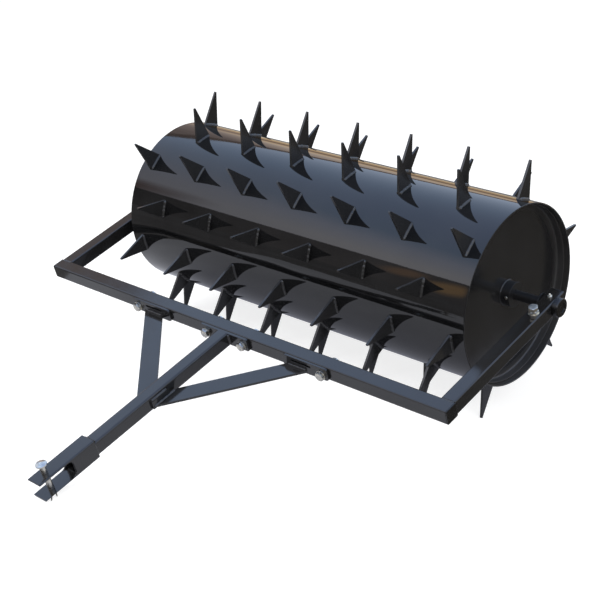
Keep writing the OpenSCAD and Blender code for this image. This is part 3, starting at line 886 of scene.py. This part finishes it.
# Frame tubes and their caps

RIGHT = (1, 0, 0)
LEFT = (-1, 0, 0)
BACK = (0, 1, 0)
FORE = (0, -1, 0)
UP = (0, 0, 1)
DOWN = (0, 0, -1)
THROUGH = 0.04
WELD_HALF = 0.0125
ARM_BORE_R = AXLE_R + 0.0015
ARM_WELD = 0.003
SEAM_WELD = 0.0032
SEAM = 0.0015
SEAM_IN = 0.0012
SEAM_HALF = 0.013
PLUG_EDGE = 0.0008
STEM_WALL = 0.002
STEM_CORNER = 0.001
BAR_STEM = 0.014
ARM_STEM = 0.0135


def tube(length, corner=TUBE_CORNER):
    return pipe(TUBE, TUBE, TUBE_WALL, corner, length)


def arm(side):
    """A side arm along local Z with the hole for the axle, welded to the bar all round."""
    hole = moved(cylinder(ARM_BORE_R, -THROUGH, THROUGH), shift(0, 0, ARM_TAIL) @ ACROSS)
    form = Form().add(cut(tube(BAR_BACK + ARM_TAIL), hole), side @ at(ARM_X, -ARM_TAIL, 0) @ AHEAD)
    inner = ARM_X - HALF
    outer = inner + TUBE
    y = -BAR_BACK - SEAM
    start, end = ((inner, -BAR_BACK, z) for z in (-WELD_HALF, WELD_HALF))
    form.weld(start, end, BACK, LEFT, ARM_WELD, 5, side)
    for out in (1, -1):
        z = out * (HALF - SEAM_IN)
        flat = (0, 0, out * 0.5)
        start, end = (inner + SEAM, y, z), (outer - SEAM, y, z)
        form.weld(start, end, BACK, flat, SEAM_WELD, 9 + out, side, span=pi, bulge=0.1)
    start, end = ((outer - SEAM_IN, y, z) for z in (-SEAM_HALF, SEAM_HALF))
    form.weld(start, end, BACK, (0.45, 0, 0), ARM_WELD, 12, side, span=pi, bulge=0.1)
    return form


def plug(place, depth):
    """A plastic end cap: a face over the tube's end and a hollow stem inside."""
    form = Form().add(slab(section(TUBE, TUBE, TUBE_CORNER), -PLUG_FACE, 0, PLUG_EDGE), place)
    return form.add(pipe(PLUG_STEM, PLUG_STEM, STEM_WALL, STEM_CORNER, depth), place)


bar = Form().add(tube(BAR_LEN), at(-BAR_LEN / 2, BAR_REACH - HALF, 0) @ ACROSS)
bar.piece("front_bar", FRAME_PAINT, "frame")
for word, side in SIDES.items():
    arm(side).piece(f"side_arm_{word}", WELDED_FRAME, "frame")
    bar_end = side @ at(BAR_LEN / 2, BAR_REACH - HALF, 0) @ ACROSS @ turn(180, "X")
    plug(bar_end, BAR_STEM).piece(f"bar_end_cap_{word}", CAP_PLASTIC, "frame")
    arm_end = side @ at(ARM_X, -ARM_TAIL, 0) @ AHEAD
    plug(arm_end, ARM_STEM).piece(f"arm_end_cap_{word}", CAP_PLASTIC, "frame")

# Fasteners

WASHER = ring_of(WASHER_D / 2, BOLT_D / 2, 0, WASHER_T)
BAR_BOLT_TURNS = {-TAB_BOLT: 12, -FLANGE_BOLT: -17, FLANGE_BOLT: 24, TAB_BOLT: 5}
HEX_CREASE = 28
WASHER_FACE = 0.0005
NUT_BORE = BOLT_D / 2 - 0.0003


def bolt(shank, threaded, spin):
    """A hex bolt whose shank runs down from the underside of its head."""
    form = Form().add(hexagon(HEX_AF, 0, HEAD_H, washer_face=WASHER_FACE), turn(spin, "Z"))
    form.add(cylinder(BOLT_D / 2 - 0.0001, -(shank - threaded), 0.0002, 32))
    form.add(thread(BOLT_D, shank - threaded - 0.0005, shank), turn(180, "X"))
    return form.verts, form.faces


def nut(height, spin):
    return moved(hexagon(HEX_AF, 0, height, bore=NUT_BORE), turn(spin, "Z"))


def grease_fitting():
    """A hexagon with a ball nipple, along Z from the axle."""
    stem = cylinder(ZERK_STEM_R, AXLE_R + 0.0005, HALF + 0.001, 24)
    neck = [(0.0022, 0.0026), (0.0019, 0.0040), (0.0012, 0.0044), (0.0012, 0.0048)]
    rise = [radians(20 * k - 35) for k in range(6)]
    ball = [(ZERK_BALL_R * cos(a), ZERK_BALL_H + ZERK_BALL_R * sin(a)) for a in rise]
    tip = [(0.0007, 0.008), (0.0006, 0.0076), (0, 0.0076)]
    nipple = lathe([(r, HALF + z) for r, z in neck + ball + tip], 24)
    return stem, hexagon(ZERK_AF, HALF, HALF + ZERK_HEX_H), nipple


bolts, nuts, rings = Form(), Form(), Form()
for x, spin in BAR_BOLT_TURNS.items():
    stack = BRACE_T if abs(x) > FLANGE_W / 2 else FLANGE_T
    shank = stack + TUBE + 2 * WASHER_T + NUT_H + BOLT_TAIL
    bolts.add(bolt(shank, BOLT_THREAD, spin), at(x, BAR_REACH + stack + WASHER_T, -BOLT_DROP) @ AHEAD)
    for s in (BAR_REACH + stack, BAR_BACK - WASHER_T):
        rings.add(WASHER, at(x, s, -BOLT_DROP) @ AHEAD)
    nuts.add(nut(NUT_H, spin * 2), at(x, BAR_BACK - WASHER_T - NUT_H, -BOLT_DROP) @ AHEAD)
bolts.piece("bar_bolts", ZINC, "frame", crease=HEX_CREASE)
rings.piece("bar_bolt_washers", ZINC, "frame")
nuts.piece("bar_bolt_nuts", ZINC, "frame", crease=HEX_CREASE)

bolts, nuts, rings, greasers = Form(), Form(), Form(), Form()
for side, spin in zip(SIDES.values(), (8, 31)):
    neck = WASHER_T + JAM_H + SET_NECK
    shank = neck + TUBE_WALL + SET_DEPTH
    bolts.add(bolt(shank, shank - 0.0002, spin), side @ at(ARM_X, SET_REACH, HALF + neck))
    nuts.add(nut(JAM_H, spin + 20), side @ at(ARM_X, SET_REACH, HALF + WASHER_T))
    rings.add(WASHER, side @ at(ARM_X, SET_REACH, HALF))
    for part in grease_fitting():
        greasers.add(part, side @ at(ARM_X, -ZERK_BACK, 0))
bolts.piece("set_bolts", FRESH_ZINC, "frame", crease=HEX_CREASE)
nuts.piece("set_bolt_jam_nuts", FRESH_ZINC, "frame", crease=HEX_CREASE)
rings.piece("set_bolt_washers", FRESH_ZINC, "frame")
greasers.piece("grease_fittings", FRESH_ZINC, "frame", crease=HEX_CREASE)

# Tongue

FLANGE_CORNER = 0.004
FLANGE_WELD = 0.0035
tongue = Form().add(tube(TONGUE_REACH - FLANGE_FACE, TONGUE_CORNER), at(0, FLANGE_FACE, 0) @ AHEAD)
tongue.piece("tongue_tube", FRAME_PAINT, "frame")


def tongue_flange():
    outline = eased(box(-FLANGE_W / 2, FLANGE_W / 2, -FLANGE_H / 2, FLANGE_H / 2), FLANGE_CORNER, 6)
    holes = [disc(x, -BOLT_DROP, BOLT_D / 2 + BOLT_GAP) for x in (-FLANGE_BOLT, FLANGE_BOLT)]
    form = Form().add(plate(outline, FLANGE_T, holes), at(0, BAR_REACH, 0) @ AHEAD)
    for side in (-1, 1):
        start, end = ((side * HALF, -FLANGE_FACE, z) for z in (-WELD_HALF, WELD_HALF))
        form.weld(start, end, FORE, (side, 0, 0), FLANGE_WELD, 20 + side)
    return form


tongue_flange().piece("tongue_flange", WELDED_FRAME, "frame")

# Braces

TAB_MID = (TAB_NEAR + TAB_FAR) / 2
TAB_CORNER = 0.008
TAB_WELD = 0.0022
FOOT_WELD = 0.003
INNER_WELD = 0.0025
FOOT_EDGE = 0.0005
WELD_IN = 0.002
TAB_WELD_IN = 0.003
INNER_WELD_IN = 0.004

# Each brace: its place on the bar, its reach along the tongue and a seed for its welds
BRACES = {"right": (0.193, 0.545, 35), "left": (0.210, 0.562, 34)}


def brace_tab():
    """The slotted tab on the bar, about its own middle."""
    wide = (TAB_FAR - TAB_NEAR) / 2
    outline = eased(box(-wide, wide, -TAB_H / 2, TAB_H / 2), TAB_CORNER, 6)
    slot = []
    for end in (-1, 1):
        x = SLOT_MID - TAB_MID + end * (SLOT_LEN - SLOT_W) / 2
        for k in range(13):
            a = pi * k / 12 - end * pi / 2
            slot.append((x + SLOT_W / 2 * cos(a), SLOT_H + SLOT_W / 2 * sin(a)))
    return plate(outline, BRACE_T, (slot, disc(TAB_BOLT - TAB_MID, -BOLT_DROP, BOLT_D / 2 + BOLT_GAP)))


def brace(side, spread, reach, seed):
    """A flat bar from the tab, at this spread, to its foot along the tongue, at this reach."""
    rear = -BAR_REACH - BRACE_T
    inner = HALF + BRACE_T
    run, rise = reach + rear, spread - inner
    size = sqrt(run * run + rise * rise)
    rear_w, front_w = BRACE_W * size / run / 2, BRACE_W * size / rise / 2
    outline = [(spread - rear_w, rear), (inner, -reach + front_w)]
    outline += [(inner, -reach - front_w), (spread + rear_w, rear)]
    foot_back = -reach - FOOT_AHEAD + FOOT_LEN / 2
    foot_front = -reach - FOOT_AHEAD - FOOT_LEN / 2
    foot_top = BRACE_TOP + FOOT_H
    form = Form().add(slab(outline, BRACE_LOW, BRACE_TOP, SOFT_EDGE), side @ FRAME_PLANE)
    form.add(brace_tab(), side @ at(TAB_MID, BAR_REACH, 0) @ AHEAD)
    foot = slab(box(HALF, inner, foot_front, foot_back), BRACE_LOW, foot_top, FOOT_EDGE)
    form.add(foot, side @ FRAME_PLANE)
    near, far = spread - rear_w + TAB_WELD_IN, spread + rear_w - TAB_WELD_IN
    for h, away in ((BRACE_TOP, UP), (BRACE_LOW, DOWN)):
        form.weld((near, rear, h), (far, rear, h), FORE, away, TAB_WELD, seed + (away == DOWN), side)
    start, end = (HALF, foot_back - WELD_IN, foot_top), (HALF, foot_front + WELD_IN, foot_top)
    form.weld(start, end, RIGHT, UP, FOOT_WELD, seed + 2, side)
    start = (inner, -reach + front_w - INNER_WELD_IN, BRACE_TOP)
    end = (inner, foot_front + WELD_IN, BRACE_TOP)
    form.weld(start, end, RIGHT, UP, INNER_WELD, seed + 3, side)
    return form


for word, side in SIDES.items():
    brace(side, *BRACES[word]).piece(f"brace_{word}", WELDED_FRAME, "frame")

# Clevis, pin and clip

CLIP_PLANE = turn(CLIP_TURN, "Z")
PIN_SEAT = PIN_HEAD_H + 0.0001
PIN_EDGE = 0.0015
PIN_GAP = 0.00025
CLEVIS_WELD = 0.0026
CLEVIS_WELD_H = 0.0145
TOP_WELD = 0.0058
TOP_WELD_HALF = 0.0155
CLEVIS_EDGE = 0.0005
CLIP_STEP = 0.002


def clevis():
    """A rectangular sleeve over the tongue, cut away into two ears, with the pin's holes."""
    sleeve = pipe(CLEVIS_W, CLEVIS_H, CLEVIS_WALL, CLEVIS_CORNER, CLEVIS_GRIP + EAR_LEN, CLEVIS_EDGE)
    front = CLEVIS_GRIP + EAR_LEN + 0.001
    room = [(CLEVIS_CLEAR / 2, front), (-CLEVIS_CLEAR / 2, front)]
    for side in (-1, 1):
        for k in range(9):
            a = pi / 2 * (k if side < 0 else 8 - k) / 8
            x = side * (CLEVIS_CLEAR / 2 - EAR_ROOT + EAR_ROOT * cos(a))
            room.append((x, CLEVIS_GRIP + EAR_ROOT - EAR_ROOT * sin(a)))
    jaw = moved(slab(room, -0.03, 0.03, 0.00001), ON_EDGE)
    hole = cylinder(PIN_R + PIN_GAP, -THROUGH, THROUGH)
    hole = moved(hole, shift(0, 0, CLEVIS_GRIP + PIN_AHEAD) @ AHEAD)
    back = TONGUE_REACH - CLEVIS_GRIP
    form = Form().add(cut(sleeve, jaw, hole), at(0, back, JAW_MID) @ AHEAD)
    for side in (-1, 1):
        start, end = ((side * HALF, -back, z) for z in (-WELD_HALF, CLEVIS_WELD_H))
        form.weld(start, end, BACK, (side, 0, 0), CLEVIS_WELD, 40 + side)
    start, end = (-TOP_WELD_HALF, -back, HALF), (TOP_WELD_HALF, -back, HALF)
    form.weld(start, end, BACK, UP, TOP_WELD, 43, bulge=0.1)
    form.weld((-WELD_HALF, -back, -HALF), (WELD_HALF, -back, -HALF), BACK, DOWN, CLEVIS_WELD, 44)
    return form


def hitch_pin():
    """A pin with a low domed head and the cross hole for the clip."""
    dome_r = (PIN_HEAD_R ** 2 + PIN_DOME ** 2) / (2 * PIN_DOME)
    top = PIN_HEAD_H + PIN_RIM
    line = [(0, PIN_LOW), (PIN_R - PIN_EDGE, PIN_LOW), (PIN_R, PIN_LOW + PIN_EDGE), (PIN_R, PIN_SEAT)]
    line = eased(line + [(PIN_HEAD_R, PIN_SEAT), (PIN_HEAD_R, top + 0.0003)], SOFT_EDGE, 3, False)
    for k in range(1, 11):
        r = PIN_HEAD_R * (1 - k / 10)
        line.append((r, top + PIN_DOME - dome_r + sqrt(dome_r ** 2 - r * r)))
    hole = cylinder(CLIP_WIRE / 2 + 0.0001, -0.02, 0.02, 24)
    return cut(lathe(line), moved(hole, shift(0, 0, CLIP_H) @ CLIP_PLANE @ ACROSS))


def pin_clip():
    """A spring wire: straight through the pin, round a bow and back along its side, flaring out."""
    bow = CLIP_SIDE / 2
    line = [(CLIP_END - k * CLIP_STEP, 0) for k in range(22)]
    for k in range(1, 17):
        a = pi * k / 16
        line.append((CLIP_BOW - bow * sin(a), bow - bow * cos(a)))
    line += [(x, CLIP_SIDE) for x in (-0.010, -0.006, -0.002, 0.002, PIN_R)]
    for k in range(1, 9):
        a = radians(2.5 * k)
        line.append((PIN_R + CLIP_FLARE * sin(a), CLIP_SIDE + CLIP_FLARE * (1 - cos(a))))
    return wire_part([(x, y, 0) for x, y in line], CLIP_WIRE / 2)


clevis().piece("clevis", WELDED_FRAME, "frame", bevel=0.0004)
Form().add(hitch_pin(), at(0, PIN_S, 0)).piece("hitch_pin", ZINC, "hitch_pin")
clip = Form().add(pin_clip(), at(0, PIN_S, CLIP_H) @ CLIP_PLANE)
clip.piece("pin_clip", ZINC, "pin_clip", crease=50)

# Stage: a pale floor, and cards around the tool that only gloss and metal see

FLOOR_GREY = (0.42, 0.42, 0.42, 1)
FLOOR_GLOW = 0.78
EYE_HEIGHT = 0.35
WHITE = (1, 1, 1, 1)
SHADE = (0.5, 0.52, 0.56, 1)


def glow(name, colour, soft):
    """Light of a colour; a soft one fades out towards the card's edges."""
    n = Nodes(name)
    light = n.add("Emission", Strength=1.0, Color=colour(n) if callable(colour) else (*colour, 1))
    if not soft:
        return n.show(light)
    place = n.where("Generated")
    across, up = (n.math("ABSOLUTE", n.math("SUBTRACT", (place, axis), 0.5)) for axis in ("X", "Z"))
    far = n.math("SQRT", n.math("ADD", n.math("MULTIPLY", across, across), n.math("MULTIPLY", up, up)))
    ragged = n.math("ADD", far, n.math("MULTIPLY", n.noise(3.0, 3.0), 0.12))
    shader = n.add("MixShader")
    n.feed(shader, "#0", n.falling(ragged, 0.28, 0.56))
    n.feed(shader, "#1", n.add("BsdfTransparent"))
    n.feed(shader, "#2", light)
    return n.show(shader)


def card(name, part, colour, soft=False):
    obj = mesh_object(name, *part, (glow(name, colour, soft),))
    for rays in ("camera", "diffuse", "transmission", "volume_scatter", "shadow"):
        setattr(obj, "visible_" + rays, False)


def seen(n):
    """1 for the rays that find the background white: camera, gloss and transmission."""
    path = n.add("LightPath")
    both = n.math("MAXIMUM", (path, "Is Camera Ray"), (path, "Is Glossy Ray"))
    return n.math("MAXIMUM", both, (path, "Is Transmission Ray"))


def floor_look():
    n = Nodes("floor")
    light = n.add("Emission", Color=WHITE, Strength=n.math("MULTIPLY", seen(n), FLOOR_GLOW))
    both = n.add("AddShader")
    n.feed(both, "#0", n.add("BsdfDiffuse", Color=FLOOR_GREY))
    n.feed(both, "#1", light)
    return n.show(both)


def flat(x0, x1, y0, y1, z):
    return [(x, y, z) for x, y in box(x0, x1, y0, y1)], [(0, 1, 2, 3)]


def upright(x0, x1, y, z0, z1):
    return [(x, y, z) for x, z in box(x0, x1, z0, z1)], [(0, 1, 2, 3)]


def skyline(radius, low, tops, depth=None):
    """An upright band round the tool, whose top has a given elevation at each azimuth as seen from the drum.
    Azimuth 0 is in front of the hitch, positive towards +X. A depth makes it a strip along the top."""
    verts, rows = [], ([], [])
    for (az, el), (next_az, next_el) in zip(tops, tops[1:]):
        for k in range(12):
            a, e = radians(mixed(az, next_az, k / 12)), radians(mixed(el, next_el, k / 12))
            top = EYE_HEIGHT + radius * sin(e) / cos(e)
            for ids, z in zip(rows, (top - depth if depth else low, top)):
                ids += numbered(verts, [(radius * sin(a), -radius * cos(a), z)])
    return verts, skin(rows, wrap=False)


def dome(radius):
    rise = [radians(e) for e in range(-4, 90, 4)]
    return lathe([(radius * cos(e), radius * sin(e)) for e in rise] + [(0, radius)])


def sky(n):
    """Clear sky, with bright haze low down in front."""
    unit = n.add("VectorMath", operation="NORMALIZE", Vector=(n.add("TexCoord"), "Object"))
    place = n.add("SeparateXYZ", Vector=unit)
    high = [(0.707, (0.93, 1.23, 1.78)), (0.87, (0.86, 1.12, 1.73)), (1.0, (0.76, 1.03, 1.7))]
    clear = n.ramp((place, "Z"), [(0.0, (1.25, 1.42, 1.7)), (0.5, (1.1, 1.36, 1.82))] + high)
    low = [(0.0, (1.97, 1.92, 1.96)), (0.40, (1.97, 1.96, 2.1)), (0.574, (1.55, 1.68, 2.1))]
    haze = n.ramp((place, "Z"), low + high)
    haze = n.blend(n.falling((place, "X"), -0.78, -0.60), haze, (1.1, 1.12, 1.3, 1))
    return n.blend(n.falling((place, "Y"), -0.45, 0.3), clear, haze)


def ground(n):
    """Dark paving, darkest on the right."""
    left = n.clouds(2.5, 3.0, (0.22, 0.21, 0.21), (0.31, 0.30, 0.31))
    right = n.clouds(3.0, 3.0, (0.11, 0.10, 0.085), (0.14, 0.13, 0.115))
    return n.blend(n.rising((n.where(), "X"), 0.3, 0.7), left, right)


def pad(n):
    """The pale slab the tool stands on, darker in the shade below the drum."""
    place = n.where()
    inside = n.rising((place, "X"), -0.60, -0.38)
    shade = n.math("MULTIPLY", n.rising((place, "Y"), -0.25, 0.12), inside)
    deep = n.math("MULTIPLY", n.rising((place, "Y"), 0.05, 0.28), inside)
    deep = n.math("MULTIPLY", deep, n.falling((place, "X"), 0.25, 0.6))
    lit = n.clouds(6.0, 4.0, (0.76, 0.78, 0.86), (0.90, 0.92, 1.01))
    half = n.blend(shade, lit, (0.42, 0.43, 0.50, 1))
    return n.blend(deep, half, (0.26, 0.27, 0.32, 1))


def wall(n):
    """A dark wall, darkest at its left end."""
    tone = n.clouds(0.8, 3.0, (0.20, 0.185, 0.185), (0.36, 0.33, 0.33), (1, 1, 0.4))
    return n.blend(n.falling((n.where(), "X"), -5.2, -4.2), tone, (0.12, 0.11, 0.105, 1))


def barn(n):
    """Timber and stone in courses: browner and darker towards the left."""
    place = n.where()
    height = n.math("MULTIPLY", (place, "Z"), 0.25)
    height = n.math("ADD", height, n.math("MULTIPLY", n.noise(0.7, 2.0), 0.02))
    stone = [(0.10, (1.0, 0.8, 0.58)), (0.16, (0.95, 0.68, 0.38)), (0.30, (0.9, 0.62, 0.36))]
    beam = [(0.35, (0.42, 0.3, 0.24)), (0.43, (0.45, 0.32, 0.25))]
    gable = [(0.48, (1.15, 0.8, 0.48)), (0.58, (1.5, 1.2, 0.92)), (0.68, (1.3, 1.06, 0.9))]
    brown = n.clouds(0.9, 3.0, (0.46, 0.36, 0.33), (0.76, 0.62, 0.58))
    return n.blend(n.falling((place, "X"), -6.1, -5.4), n.ramp(height, stone + beam + gable), brown)


# Tops of the cards round the tool: azimuth and elevation in degrees
SIDE_TOP = [(-108, 13), (-90, 11), (-66, 10)]
BARN_TOP = [(-265, 8), (-200, 10), (-165, 14), (-147, 18.8), (-143, 20.3), (-139, 22.5), (-135, 25.2)]
BARN_TOP += [(-128, 29.5), (-120, 34.7), (-116, 36.5), (-112, 37.6), (-109, 37.8)]
BARN_TOP += [(-107, 34), (-104, 22), (-98, 8)]
LANE_TOP = [(-265, 0), (-95, 0)]

# Flat cards: x from and to, y from and to, height
FLOOR = (-30, 30, -30, 30, 0)
GROUND = (-15, 15, -15, 15, 0.0004)
PAD = (-0.69, 0.60, -0.70, 0.80, 0.0008)

# Upright cards: x from and to, y, height from and to
FRONT = (-13, 7, -4.0, 0.001, 1.92)
BROWN = (-7.5, -4.5, -4.05, 0.5, 3.5)
TAN_LEFT = (-2.78, -2.42, -3.95, 0.8, 1.9)
TAN_RIGHT = (-2.44, -2.02, -3.95, 0.3, 1.8)

# Cards round the tool: radius, foot, top, and the depth of a strip
SKY_R = 16
SIDE = (9.0, 0.001, SIDE_TOP)
BARN = (8.0, 0.3, BARN_TOP)
ROOF = (7.95, 0.3, BARN_TOP, 0.3)
LANE = (7.9, 0.06, LANE_TOP)

ROOF_BROWN = (0.34, 0.26, 0.23)
LANE_CREAM = (1.1, 0.95, 0.75)
DULL_BROWN = (0.50, 0.36, 0.34)
TAN = (0.9, 0.58, 0.38)
BRIGHT_TAN = (1.3, 0.82, 0.40)

mesh_object("floor", *flat(*FLOOR), (floor_look(),))
card("sky_card", dome(SKY_R), sky)
card("ground_card", flat(*GROUND), ground)
card("pad_card", flat(*PAD), pad)
card("front_card", upright(*FRONT), wall)
card("side_card", skyline(*SIDE), wall)
card("back_card", skyline(*BARN), barn)
card("roof_card", skyline(*ROOF), ROOF_BROWN)
card("lane_card", skyline(*LANE), LANE_CREAM)
card("brown_card", upright(*BROWN), DULL_BROWN, soft=True)
card("tan_card_1", upright(*TAN_LEFT), TAN, soft=True)
card("tan_card_2", upright(*TAN_RIGHT), BRIGHT_TAN, soft=True)

studio = Nodes("studio", world=True)
sky_light = studio.blend(seen(studio), SHADE, WHITE)
scene.world = studio.show(studio.add("Background", Color=sky_light))

# Lamps, which gloss does not show

LAMP_AIM = Vector((0, 0, 0.2))
KEY_PLACE = (-2.2, -2.4, 3.4)
FILL_PLACE = (3.0, -1.0, 2.6)
HIGH_PLACE = (1.6, -1.2, 4.2)


def lamp(name, place, size, power):
    data = bpy.data.lights.new(name, "AREA")
    data.size = size
    data.energy = power
    obj = bpy.data.objects.new(name, data)
    scene.collection.objects.link(obj)
    obj.location = place
    obj.rotation_euler = (LAMP_AIM - Vector(place)).to_track_quat("-Z", "Y").to_euler()
    obj.visible_glossy = False


lamp("key", KEY_PLACE, size=2.6, power=150)
lamp("fill", FILL_PLACE, size=2.0, power=60)
lamp("high", HIGH_PLACE, size=0.6, power=30)

# Camera, as fitted to the photo

CAMERA_PLACE = (1.69888327, -1.66856665, 1.22808544)
CAMERA_RIGHT = (0.74813394, 0.66330394, -0.01798571)
CAMERA_UP = (-0.25443137, 0.31179338, 0.91545047)
CAMERA_BACK = (0.61282973, -0.68030344, 0.40202854)
camera = bpy.data.cameras.new("camera")
camera.sensor_width = 36.0
camera.lens = 77.99228
camera.shift_x = -0.028551
camera.shift_y = 0.018759
camera.clip_end = 100
view = bpy.data.objects.new("camera", camera)
scene.collection.objects.link(view)
axes = Matrix((CAMERA_RIGHT, CAMERA_UP, CAMERA_BACK)).transposed()
view.matrix_world = Matrix.Translation(CAMERA_PLACE) @ axes.to_4x4()
scene.camera = view
